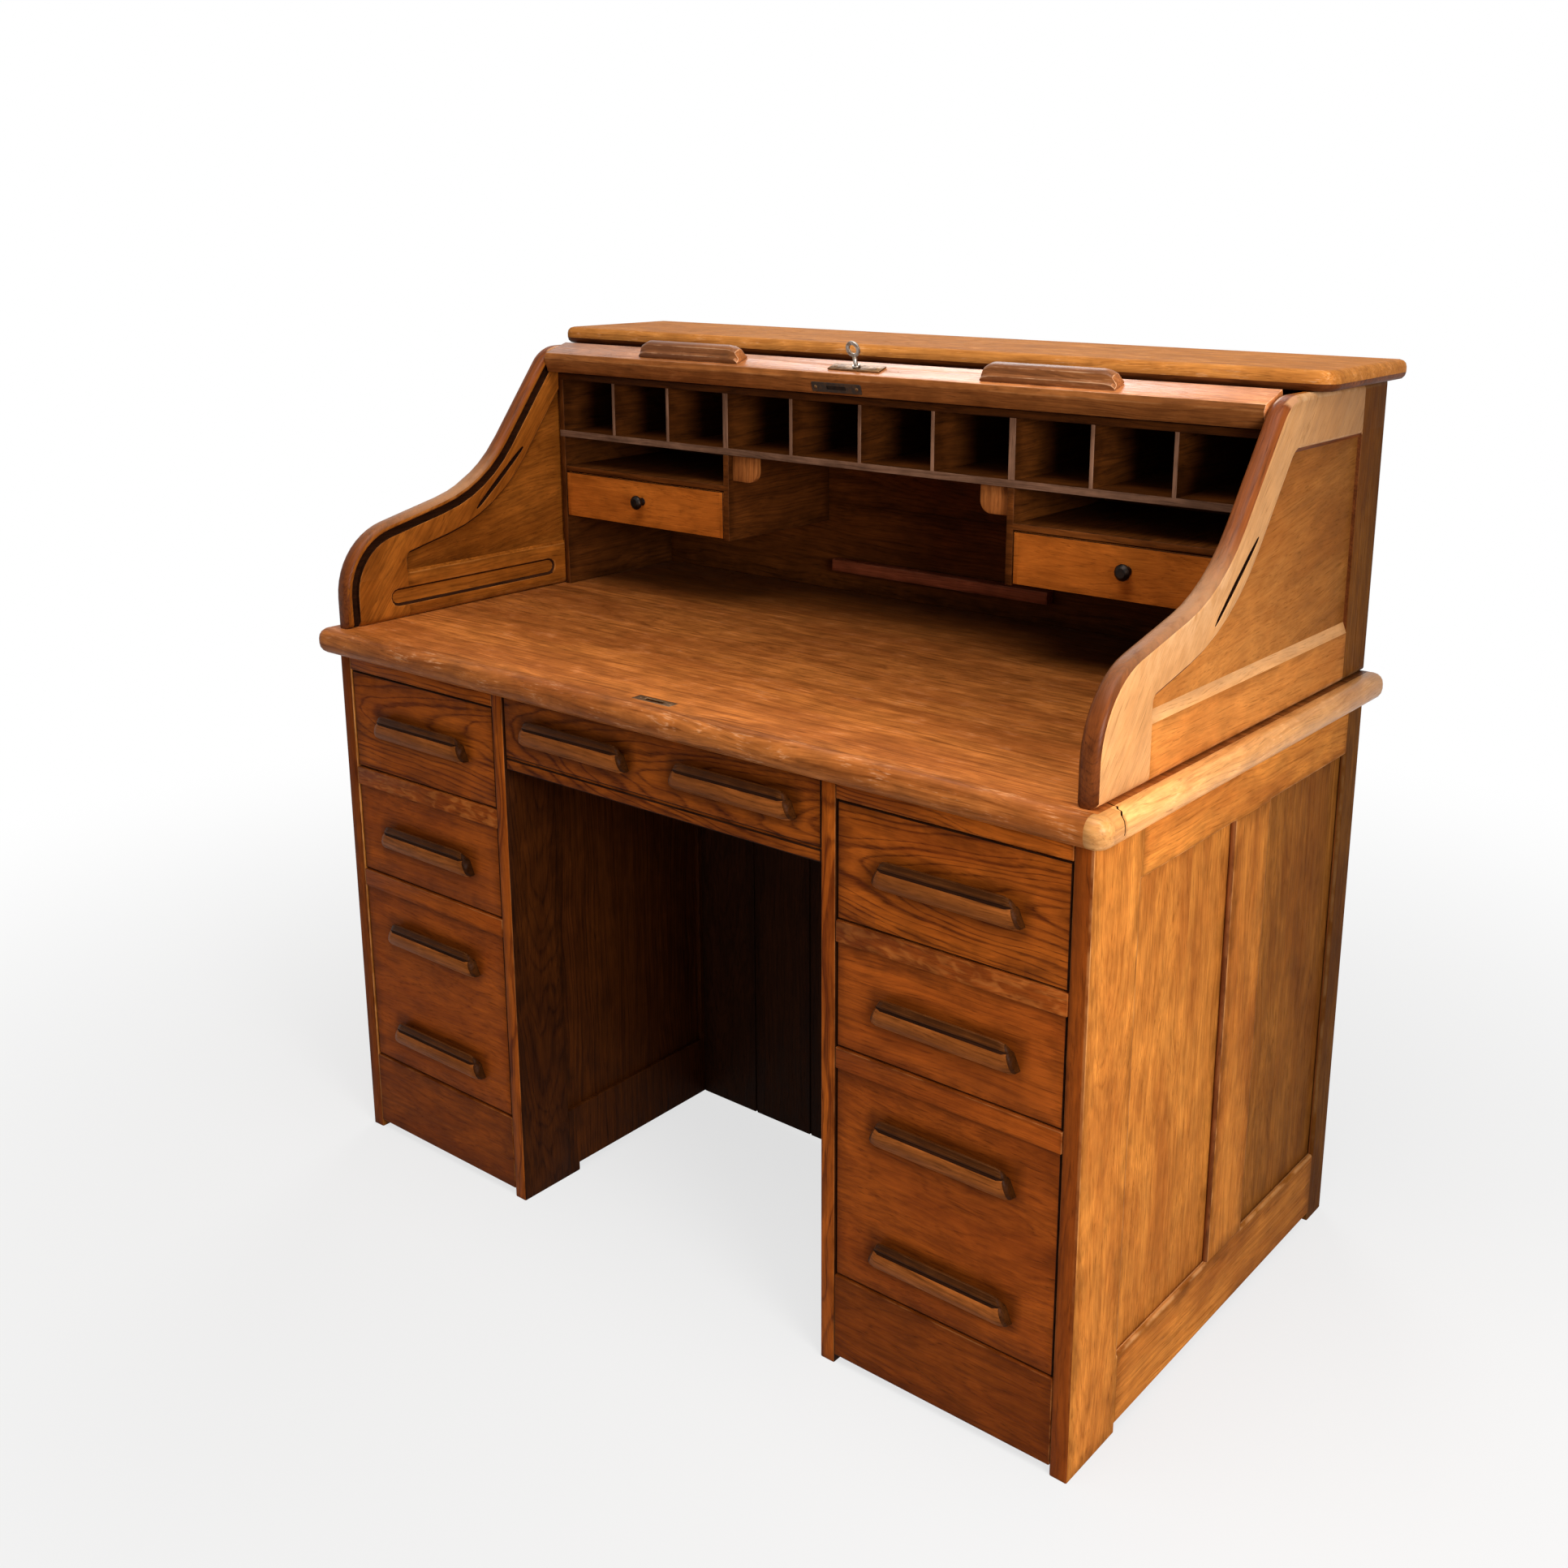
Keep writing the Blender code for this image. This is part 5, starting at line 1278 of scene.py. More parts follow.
@dataclass
class WritingTop:
    """Writing top of glued boards inside a rounded lipping, with the lock's strike plate."""

    lipping: float = 0.020
    mended: float = 0.043
    joints: Sequence[float] = (-0.155, 0.049, 0.212)
    # Painted shade under the rack: tone lost per metre towards the rear, from the line where the top has full colour
    darkening: float = 1.4
    full_colour: float = -0.245
    crack: Sequence[tuple[float, float]] = ((0.5960, -0.3010), (0.6030, -0.3040), (0.6080, -0.3042),
                                            (0.6115, -0.3100), (0.6160, -0.3104), (0.6195, -0.3160),
                                            (0.6300, -0.3175))
    crack_width: float = 0.0019
    underside: float = 0.742

    def build(self) -> None:
        """Makes the top and the plate."""
        line = [Vector((x, y, self.underside)) for x, y in self.crack]
        shift = (X + Y) * self.crack_width / math.sqrt(2)
        work = Workpiece("writing_top", [prism(line + [p + shift for p in reversed(line)], Z * 0.05)])
        low, high = Vector(work.low), Vector(work.high)
        front = low.y + self.lipping
        left, right = low.x + self.lipping, high.x - self.lipping
        split = low.y + self.mended
        work.saw((0, front, 0), Y).saw((left, 0, 0), X).saw((right, 0, 0), X).saw((0, split, 0), Y)
        work.saw((high.x - 0.024, 0, 0), X)
        path = [(p + shift / 2).to_2d() for p in line]
        # Painted shade and dirt inside the crack
        work.board(" crack", SHADE_OAK, X, Z, Cut.RIFT, lambda p, n: abs(n.z) < 0.5
                   and p.z > self.underside - 1e-4 and from_path(p.to_2d(), path) < 0.8 * self.crack_width)
        # Painted highlight: the worn corner grows paler towards the right
        work.board(" worn corner", NOSE_OAK, X, -Y, Cut.RIFT, lambda p, n: p.x > high.x - 0.024 and p.y < front, -0.2,
                   (high.x - 0.024, low.y, low.z), fade=(16.0, 0, 0))
        work.board(" front lipping", RUBBED_OAK, X, -Y, Cut.RIFT, below(1, front), 0.0,
                   high=(high.x, front, high.z))
        work.board(" left lipping", TOP_OAK, Y, -X, Cut.RIFT, below(0, left), 0.0,
                   (low.x, front, low.z), (left, high.y, high.z))
        work.board(" mended corner", NOSE_OAK, Y, X, Cut.RIFT,
                   lambda p, n: p.x > right and p.y < split, 0.06, (right, front, low.z), (high.x, split, high.z))
        # Painted shade: the right lipping darkens towards the rear
        work.board(" right lipping", NOSE_OAK, Y, X, Cut.RIFT, above(0, right), 0.04, (right, split, low.z), high,
                   (0, -1.25, 0))
        # The boards darken towards the rear as painted shade
        start = front
        for i, end in enumerate((*self.joints, high.y)):
            if i < len(self.joints):
                work.saw((0, end, 0), Y)
            tone = self.darkening * (self.full_colour - (start + end) / 2)
            work.board(f" board {i}", TOP_OAK, X, Z, Cut.PLAIN if i % 2 else Cut.RIFT, below(1, end + 1e-6), tone,
                       (left, start, low.z), (right, end, high.z), (0, -self.darkening, 0))
            start = end
        work.board(" rest", TOP_OAK, X, Z)
        work.finish()
        Workpiece("strike_plate").ease(0.0004, 2).board("", BRASS, X, Z).finish()
        low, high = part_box("strike_plate")
        middle = Vector(((low.x + high.x) / 2, (low.y + high.y) / 2, high.z))
        heads("strike_screws", "case", [(middle + X * s * 0.024, Z, 0.7 * s) for s in (-1, 1)], 0.0026, 0.0005,
              0.0008, BRASS)


@dataclass
class SEnd:
    """S-shaped end: curved frame, recessed panel on both faces, tambour groove and routed bar."""

    side: Side
    panel_front: float = 0.106
    bottom_rail: float = 0.063
    top_rail: float = 0.057
    rear_stile: float = 0.075
    panel_deep: float = 0.005
    thick: float = 0.024

    slit: Sequence[tuple[float, float]] = ((-0.0935, 0.904), (-0.0005, 0.985))
    slit_width: float = 0.0062
    slit_deep: float = 0.003
    field: float = 0.0065
    field_foot: float = 0.013
    slope: float = 0.0038
    bar_deep: float = 0.003
    fillet: float = 0.005
    # Height and half width of the painted highlight along the hollow of the front edge
    rubbed: tuple[float, float] = (0.935, 0.036)
    groove_far: float = 0.0225

    def build(self) -> None:
        """Makes the end."""
        right = self.side is Side.RIGHT
        low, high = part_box(self.side.tag + "s_end")
        outer, inner = (high.x, low.x) if right else (low.x, high.x)
        work = Workpiece(self.side.tag + "s_end", [self.open_joint(outer if right else inner)])
        low, high = Vector(low), Vector(high)
        out = X * self.side.value
        front, rear = low.y + self.panel_front, high.y - self.rear_stile
        foot, head = 0.765 + self.bottom_rail, 1.130 - self.top_rail
        skins = (outer, inner)

        def outline(p: Vector, d: Vector) -> bool:
            """Whether an edge belongs to the S outline rather than to the panel, bar or groove."""
            return min(abs(p.x - s) for s in skins) < 1e-4 and self.from_outline(p) < 5e-4

        inward = -self.side.value
        for floor, draws, fillet in ((outer + inward * self.panel_deep, (self.field, self.field_foot), self.fillet),
                                     (inner - inward * self.panel_deep, (self.slope, self.slope), self.fillet),
                                     (inner - inward * self.bar_deep, (self.slope, self.slope), 0.0)):
            self.draw_in(work, floor, draws, foot, rear, fillet)
        work.ease(0.0084, 5, outline)
        work.ease(0.0014, 2, lambda p, d: self.from_outline(p) > 0.003)
        # Paints a highlight along the hollow of the front edge, through the wear layer
        for vert in work.bm.verts:
            if vert.co.y < 0.06 and self.from_outline(vert.co) < 0.0088:
                level = (vert.co.z - self.rubbed[0]) / self.rubbed[1]
                vert[work.wear] = math.exp(-level * level)
        work.saw((0, front, 0), Y).saw((0, rear, 0), Y).saw((0, 0, foot), Z).saw((0, 0, head), Z)

        def sunk(p: Vector) -> float:
            """How far a point lies below the nearer of the two skins."""
            return min(abs(p.x - s) for s in skins)

        def in_panel(p: Vector) -> bool:
            """Whether a point lies within the panel's recess."""
            return foot - 1e-3 < p.z < head + 1e-3 and front - 1e-3 < p.y < rear + 1e-3 \
                and self.from_outline(p) > 0.048

        def recessed(p: Vector, n: Vector) -> bool:
            """Whether a face is the floor of a panel on the outside."""
            return abs(n.x) > 0.9 and sunk(p) > self.panel_deep - 5e-4 and in_panel(p)

        def inside(p: Vector) -> bool:
            """Whether a point lies on the half that looks into the desk."""
            return abs(p.x - inner) < abs(p.x - outer)

        def groove(p: Vector, n: Vector) -> bool:
            """Whether a face lies in the tambour groove."""
            if not inside(p) or sunk(p) < 4e-4:
                return False
            near = self.from_outline(p)
            return 0.0098 < near < self.groove_far and not in_panel(p) or p.y > high.y - 0.036 and near < 0.04

        def walls(p: Vector, n: Vector) -> bool:
            """Whether a face is a wall of a recess or of the open joint, in shade."""
            return abs(n.x) < 0.85 and 3e-4 < sunk(p) < 0.0075 and self.from_outline(p) > 0.012 and n.z < 0.55

        def bar(p: Vector, n: Vector) -> bool:
            """Whether a face is the floor of the routed bar."""
            return inside(p) and p.z < foot - 4e-3 and 1e-3 < sunk(p) < 0.004 and abs(n.x) > 0.8

        slope = Vector((0.0, 0.62, 0.78))
        # Painted shade with dirt: the open joint, the tambour groove and the inner recess walls are near black; the
        # outer recess walls are brown
        work.board(" slit", SHADE_OAK, Y, out, Cut.RIFT, lambda p, n: self.in_slit(p) and sunk(p) > 3e-4)
        work.board(" groove", SHADE_OAK, Y, out, Cut.RIFT, groove, 0.3)
        work.board(" walls", SHADE_OAK, Y, out, Cut.RIFT, lambda p, n: inside(p) and walls(p, n), 0.6)
        work.board(" outer walls", SHADED_EDGE_OAK, Y, out, Cut.RIFT, walls, -0.3)
        work.board(" bar", INSIDE_OAK, Y, out, Cut.RIFT, bar, 0.08, (low.x, low.y, foot - 0.08), (high.x, rear, foot))
        # The front edge: painted highlight in the hollow, darker towards the foot as painted shade
        work.board(" edge", HAND_WORN_HIGHLIT_OAK, slope, Vector((0, -0.78, 0.62)), Cut.RIFT,
                   lambda p, n: abs(n.x) < 0.95 and n.y < -0.05 and self.from_outline(p) < 0.009, -0.22,
                   fade=(0, 0, 0.9))
        # Painted shade: the outside panel, rear stile, ledge, bottom rail and frame darken towards the rear, the panel
        # also upwards
        rearward_shade = (0.0, -1.1, 0.0)
        work.board(" inside panel", INSIDE_OAK, Vector((0, 1, 0.16)), out, Cut.PLAIN,
                   lambda p, n: inside(p) and recessed(p, n), -0.14, (low.x, front, foot), (high.x, rear, head))
        work.board(" outside panel", PANEL_OAK, Vector((0, 1, 0.16)), out, Cut.PLAIN, recessed, -0.28,
                   (low.x, front, foot), (high.x, rear, head), (0.0, -1.2, -0.4))
        work.board(" inside rear stile", INSIDE_OAK, Z, out, Cut.RIFT,
                   lambda p, n: inside(p) and p.y > rear, -0.58, low=(low.x, rear, low.z))
        work.board(" outside rear stile", SIDE_OAK, Z, out, Cut.RIFT, above(1, rear), -0.7, low=(low.x, rear, low.z),
                   fade=(0.0, -1.5, 0.0))
        # The right end's frame and its upward ledge are painted paler as lit; the left end's take the side oak
        frame_oak_lit_on_right = PAINTED_LIGHT_HONEY_OAK if right else SIDE_OAK
        work.board(" ledge", frame_oak_lit_on_right, Y, out, Cut.RIFT, lambda p, n: not inside(p) and n.z > 0.2
                   and abs(p.z - foot) < 0.011 and p.y > front - 0.01, 0.05, (low.x, front, foot - 0.05),
                   (high.x, rear, foot + 0.05), rearward_shade)
        work.board(" inside bottom rail", INSIDE_OAK, Y, out, Cut.RIFT,
                   lambda p, n: inside(p) and p.z < foot and p.y > front, 0.0, (low.x, front, low.z),
                   (high.x, rear, foot))
        work.board(" outside bottom rail", PANEL_OAK, Y, out, Cut.RIFT,
                   lambda p, n: p.z < foot and p.y > front and not inside(p), 0.0, (low.x, front, low.z),
                   (high.x, rear, foot), rearward_shade)
        work.board(" inside frame", INSIDE_OAK, slope, out, Cut.RIFT, lambda p, n: inside(p), 0.06)
        work.board(" outside frame", frame_oak_lit_on_right, slope, out, Cut.RIFT, None, -0.2, fade=rearward_shade)
        work.finish()

    def draw_in(self, work: Workpiece, floor: float, draws: Sequence[float], foot: float, rear: float,
                fillet: float) -> None:
        """Draws the floor of a recess in, so that the recess's walls become soft slopes.

        Args:
            work: The end.
            floor: Place along X of the recess's floor.
            draws: How far the floor draws in, on most sides and at the foot.
            foot: Level of the panel's foot.
            rear: Place along Y of the panel's rear, which stays steep.
            fillet: Longest side that counts as part of a small rounded corner, which goes sharp.
        """
        floors = [f for f in work.bm.faces if abs(f.normal.x) > 0.99
                  and abs(f.calc_center_median().x - floor) < 3e-4]
        verts = [loop.vert for loop in max(floors, key=lambda f: f.calc_area()).loops]
        spots = [Vector((v.co.y, v.co.z)) for v in verts]
        turn = math.copysign(1.0, sum(a.cross(b) for a, b in zip(spots, spots[1:] + spots[:1])))
        sides = []
        for i, (a, b) in enumerate(zip(spots, spots[1:] + spots[:1])):
            draw = draws[0]
            if max(abs(a.y - foot), abs(b.y - foot)) < 1e-3:
                draw = draws[1]
            elif max(abs(a.x - rear), abs(b.x - rear)) < 1e-3:
                draw = 0.0
            if (b - a).length > fillet:
                normal = Vector((a.y - b.y, b.x - a.x)).normalized() * turn
                sides.append((i, normal, normal.dot(a) + draw))
        for i, vert in enumerate(verts):
            n, d = max(sides, key=lambda s: (s[0] < i, s[0]))[1:]
            m, e = min(sides, key=lambda s: (s[0] < i, s[0]))[1:]
            area = n.cross(m)
            if abs(area) < 1e-2:
                y, z = spots[i] + m * (e - m.dot(spots[i]))
            else:
                y, z = (d * m.y - e * n.y) / area, (e * n.x - d * m.x) / area
            vert.co.y, vert.co.z = y, z
        bmesh.ops.remove_doubles(work.bm, verts=verts, dist=1e-5)

    def open_joint(self, skin: float) -> bmesh.types.BMesh:
        """Shape of the open joint beside the panel.

        Args:
            skin: Place along X of the face that shows it.

        Returns:
            A slim wedge-ended solid to cut away.
        """
        a, b = (Vector((0.0, *p)) for p in self.slit)
        line = (b - a).normalized()
        wide = Vector((0.0, -line.z, line.y)) * self.slit_width / 2
        shares = ((0.0, 0.15), (0.08, 0.7), (0.4, 1.0), (0.8, 0.9), (0.97, 0.5), (1.0, 0.2))
        points = [a.lerp(b, t) + wide * w for t, w in shares] + [a.lerp(b, t) - wide * w for t, w in shares[::-1]]
        start = X * (skin - self.slit_deep)
        return prism([p + start for p in points], X * (2 * self.slit_deep))

    def in_slit(self, p: Vector) -> bool:
        """Whether a point lies within the open joint's outline, a little grown."""
        path = [Vector(q) for q in self.slit]
        return from_path(Vector((p.y, p.z)), path) < self.slit_width * 0.62

    def from_outline(self, p: Vector) -> float:
        """Distance of a point from the S outline, seen from the side."""
        return from_path(Vector((p.y, p.z)), s_path() + s_path()[:1])


@lru_cache
def s_path() -> list[Vector]:
    """Outline of an S end.

    Returns:
        Points in Y and Z, from the front foot over the top to the back foot.
    """
    front, rear, foot, top = -0.3305, 0.345, 0.7653, 1.1297
    corners = [Vector(p) for p in ((front, foot), (front, 0.887), (front + 0.246, 0.943),
                                   (front + 0.389, top), (rear, top), (rear, foot))]
    path = [corners[0]]
    for a, b, c, radius in zip(corners, corners[1:], corners[2:], (0.100, 0.205, 0.054, 0.0)):
        d, e = (b - a).normalized(), (c - b).normalized()
        turn = math.atan2(d.cross(e), d.dot(e))
        if radius == 0.0:
            path.append(b)
            continue
        start = b - d * radius * math.tan(abs(turn) / 2)
        normal = Vector((-d.y, d.x)) * math.copysign(radius, turn)
        steps = max(2, math.ceil(abs(turn) / math.radians(7.5)))
        for i in range(steps + 1):
            path.append(start + normal - Matrix.Rotation(turn * i / steps, 2) @ normal)
    path.append(corners[-1])
    return path


@dataclass
class UpperCase:
    """Cap board, outer back and inner back."""

    def build(self) -> None:
        """Makes the three."""
        work = Workpiece("cap").ease(0.0005, 1)
        front, under = work.low.y + 0.014, work.low.z + 0.009
        work.saw((0, 0, under), Z)
        # Painted shade on the underside of the cap's front
        work.board(" underside", SHADED_EDGE_OAK, X, -Y, Cut.RIFT, lambda p, n: p.z < under and n.z < 0.3, -0.25)
        strips(work, 1, (front, 0.23), CAP_OAK, X, Z, 0.0)
        work.finish()
        work = Workpiece("upper_back").ease(0.001, 1)
        strips(work, 0, (-0.345, -0.11, 0.13, 0.36), BACK_BOARDS, Z, Y, 0.05, Cut.PLAIN)
        work.finish()
        self.nails()
        work = Workpiece("inner_back").ease(0.0006, 1)
        strips(work, 2, (0.90, 1.0), INNER_OAK, X, -Y, 0.3, Cut.PLAIN)
        work.finish()

    def nails(self) -> None:
        """Drives a row of nails along the top and the foot of each back."""
        points = []
        for node, count in (("upper_back", 15), ("left_back", 6), ("right_back", 6), ("kneehole_back", 9)):
            low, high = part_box(node)
            draw = random.Random(zlib.crc32(node.encode()))
            for level in (low.z + 0.022, high.z - 0.022):
                for i in range(count):
                    x = low.x + (high.x - low.x) * (i + 0.5) / count + draw.uniform(-0.006, 0.006)
                    points.append((Vector((x, high.y, level + draw.uniform(-0.003, 0.003))), Y, draw.uniform(0, 3)))
        heads("back_nails", "case", points, 0.0029, 0.0006, 0.0, IRON)


@dataclass
class Pigeonholes:
    """Rack with its boxes, brackets, ledge and small drawers."""

    board: float = 0.010
    shelf: float = 0.994

    def build(self) -> None:
        """Makes the rack and what hangs in it."""
        work = Workpiece("pigeonhole_rack").ease(0.0008, 2)
        top = work.high.z - self.board
        for z in (self.shelf, self.shelf + self.board, top):
            work.saw((0, 0, z), Z)
        low, high = work.low, work.high
        shelf_top = self.shelf + self.board
        work.board(" lip", LIP_OAK, X, -Y, Cut.RIFT, lambda p, n: n.y < -0.5 and self.shelf < p.z < shelf_top,
                   -0.15, low=(low.x, low.y, self.shelf))
        # The rack's top board is darker so that it reads as shade: painted shade
        work.board(" top", INNER_OAK, X, -Y, Cut.RIFT, above(2, top), -0.3, low=(low.x, low.y, top))
        work.board(" shelf", INNER_OAK, X, -Y, Cut.RIFT, lambda p, n: self.shelf < p.z < shelf_top, 0.0,
                   (low.x, low.y, self.shelf), (high.x, high.y, shelf_top))
        work.board(" outer edges", INNER_OAK, Z, -Y, Cut.RIFT,
                   lambda p, n: n.y < -0.5 and min(p.x - low.x, high.x - p.x) < self.board, 0.4)
        work.board(" front edges", LIP_OAK, Z, -Y, Cut.RIFT, lambda p, n: n.y < -0.5)
        work.board(" walls", INNER_OAK, Y, X, Cut.RIFT, None, -0.1)
        work.finish()
        for side in Side:
            work = Workpiece(side.tag + "box").ease(0.0008, 2)
            work.board(" front edges", INNER_OAK, X, -Y, Cut.RIFT, lambda p, n: n.y < -0.5, 0.4)
            work.board("", INNER_OAK, Y, Z, Cut.RIFT).finish()
            Workpiece(side.tag + "bracket").ease(0.001, 2).board("", FACE_OAK, Z, -Y, Cut.RIFT, tone=0.2).finish()
            Drawer(side.tag + "small_drawer", SMALL_OAK, Cut.PLAIN, -0.1, 0.012, 0.007, (), "small_drawer_oak",
                   0.0009).build()
            Workpiece(side.tag + "knob").ease(0.0003, 1).board("", BLACK_IRON, Y, -Y).finish()
        Workpiece("rear_ledge").ease(0.0012, 2).board("", LEDGE_OAK, X, -Y, Cut.RIFT, tone=0.35).finish()


@dataclass
class Tambour:
    """Lead rail with its lifts, lock and key, and the stored curtain of slats on canvas."""

    pitch: float = 0.020
    thick: float = 0.0085
    slope: float = math.radians(18.0)
    pivot: Sequence[float] = (0.0, 0.08516, 1.0757)
    front_edge: float = -0.025
    plate: Sequence[float] = (0.082, 0.0135, 0.0011, 0.0008)
    plate_at: float = -0.019
    plate_rise: float = 0.0365

    def build(self) -> None:
        """Makes the rail, its fittings and the curtain."""
        along = Vector((0.0, math.cos(self.slope), math.sin(self.slope)))
        out = Vector((0.0, -math.sin(self.slope), math.cos(self.slope)))
        work = Workpiece("lead_rail").ease(0.0014, 2)
        # Painted light: the top grows paler to the right as a sheen; the nose darkens to the right as shade
        work.board(" nose", FACE_OAK, X, -along, Cut.RIFT, lambda p, n: n.dot(along) < -0.5, -0.05, fade=(-0.6, 0, 0))
        work.board("", SHEEN_OAK, X, out, Cut.RIFT, None, 0.0, fade=(0.4, 0, 0)).finish("oak_top")
        for side in Side:
            work = Workpiece(side.tag + "lift").ease(0.0009, 2)
            # Painted highlight: the faces that look right are paler
            work.board(" worn end", LIFT_OAK, X, out, Cut.RIFT, lambda p, n: n.x > 0.45, 0.5)
            work.board("", LIFT_OAK, X, out, Cut.RIFT).finish()
        Workpiece("escutcheon").ease(0.0005, 2).board("", BRASS, X, out).finish()
        Workpiece("lock_key").ease(0.0003, 1).board("", STEEL, X, out).finish()
        self.lock_plate(along, out)
        self.curtain("tambour_top_run", Y, Z)
        self.curtain("tambour_back_run", -Z, Y)

    def lock_plate(self, along: Vector, out: Vector) -> None:
        """Sets the lock's bare face plate with its bolt window on the rail's front edge, with two screws.

        Args:
            along: Direction from the rail's front edge to its back.
            out: Direction that the rail's top looks.
        """
        wide, tall, thick, sunk = self.plate
        centre = Vector(self.pivot) + X * self.plate_at + along * self.front_edge + out * self.plate_rise
        loops = ((wide, tall, 0.0015, -0.0003), (wide, tall, 0.0015, thick - 0.0003),
                 (wide - 0.0006, tall - 0.0006, 0.0012, thick), (0.032, 0.0052, 0.0012, thick),
                 (0.032, 0.0052, 0.0012, thick - sunk))
        rows = [[centre + X * u + out * v - along * d for u, v in rounded(w, t, r)] for w, t, r, d in loops]
        low, high = centre - Vector((wide, tall, tall)) / 2, centre + Vector((wide, tall, tall)) / 2

        def window(p: Vector, n: Vector) -> bool:
            """Whether a face is the bolt's end in the window."""
            return n.dot(along) < -0.9 and (p - centre).dot(-along) < thick - 0.5 * sunk and abs(p.x - centre.x) < 0.016

        fit("lock_face_plate", loft(rows), "lead_rail", [Board("bolt", BLACK_IRON, low, high, X, -along, where=window),
                                                         Board("face plate", IRON, low, high, X, -along)])
        screws = [(centre + X * s * (wide / 2 - 0.007) - along * thick, -along, 0.4 + s) for s in (-1, 1)]
        low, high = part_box("escutcheon")
        middle = (Vector(low) + Vector(high)) / 2 + out * 0.001
        screws += [(middle + X * s * ((high.x - low.x) / 2 - 0.008), out, 0.9 * s) for s in (-1, 1)]
        heads("rail_screws", "lead_rail", screws, 0.0026, 0.0008, 0.0008, BRASS)

    def curtain(self, node: str, run: Vector, out: Vector) -> None:
        """Lays one run of the curtain slat by slat.

        Args:
            node: Solid of the run.
            run: Direction from slat to slat.
            out: Direction that the rounded slats look.
        """
        low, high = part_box(node)
        length = high.x - low.x
        start = Vector((0.0, low.y if run.y else (low.y + high.y) / 2, high.z if run.z else low.z))
        if run.z:
            start.y = low.y
        count = round(abs(run.dot(high - low)) / self.pitch)
        piece = bpy.data.objects.new(node + "_piece", bpy.data.meshes.new(node + "_piece"))
        bpy.context.scene.collection.objects.link(piece)
        tree = slat_tree()
        modifier = piece.modifiers.new("slats", "NODES")
        modifier.node_group = tree
        inputs = {"Count": count, "Pitch": self.pitch, "Length": length, "Thickness": self.thick,
                  "Slat Finish": material_of(FRONT_OAK), "Cloth Finish": material_of(CANVAS)}
        for item in tree.interface.items_tree:
            if item.name in inputs:
                modifier[item.identifier] = inputs[item.name]
        graph = bpy.context.evaluated_depsgraph_get()
        mesh = bpy.data.meshes.new_from_object(piece.evaluated_get(graph))
        piece.modifiers.clear()
        piece.data = mesh
        turn = Matrix((X, run, out)).transposed().to_4x4()
        mesh.transform(Matrix.Translation(start) @ turn)
        bm = bmesh.new()
        bm.from_mesh(mesh)
        if turn.determinant() < 0:
            bmesh.ops.reverse_faces(bm, faces=bm.faces)
        bmesh.ops.triangulate(bm, faces=bm.faces)
        bm.to_mesh(mesh)
        bm.free()
        boards, of_face = [], []
        for i in range(count):
            a, b = start + run * self.pitch * i, start + run * self.pitch * (i + 1) + out * self.thick
            corner = [Vector((low.x, min(a.y, b.y), min(a.z, b.z))), Vector((high.x, max(a.y, b.y), max(a.z, b.z)))]
            boards.append(Board(f"{node} slat {i}", FRONT_OAK, corner[0], corner[1], X, out, Cut.RIFT))
        for face in mesh.polygons:
            number = int((Vector(face.center) - start).dot(run) / self.pitch)
            of_face.append(min(count - 1, max(0, number)))
        mark(mesh, boards, of_face)
        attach(piece, frame["nodes"][node]["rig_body"])
        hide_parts(node)
        log.info("%s: %d slats, %d triangles", piece.name, count, len(mesh.polygons))


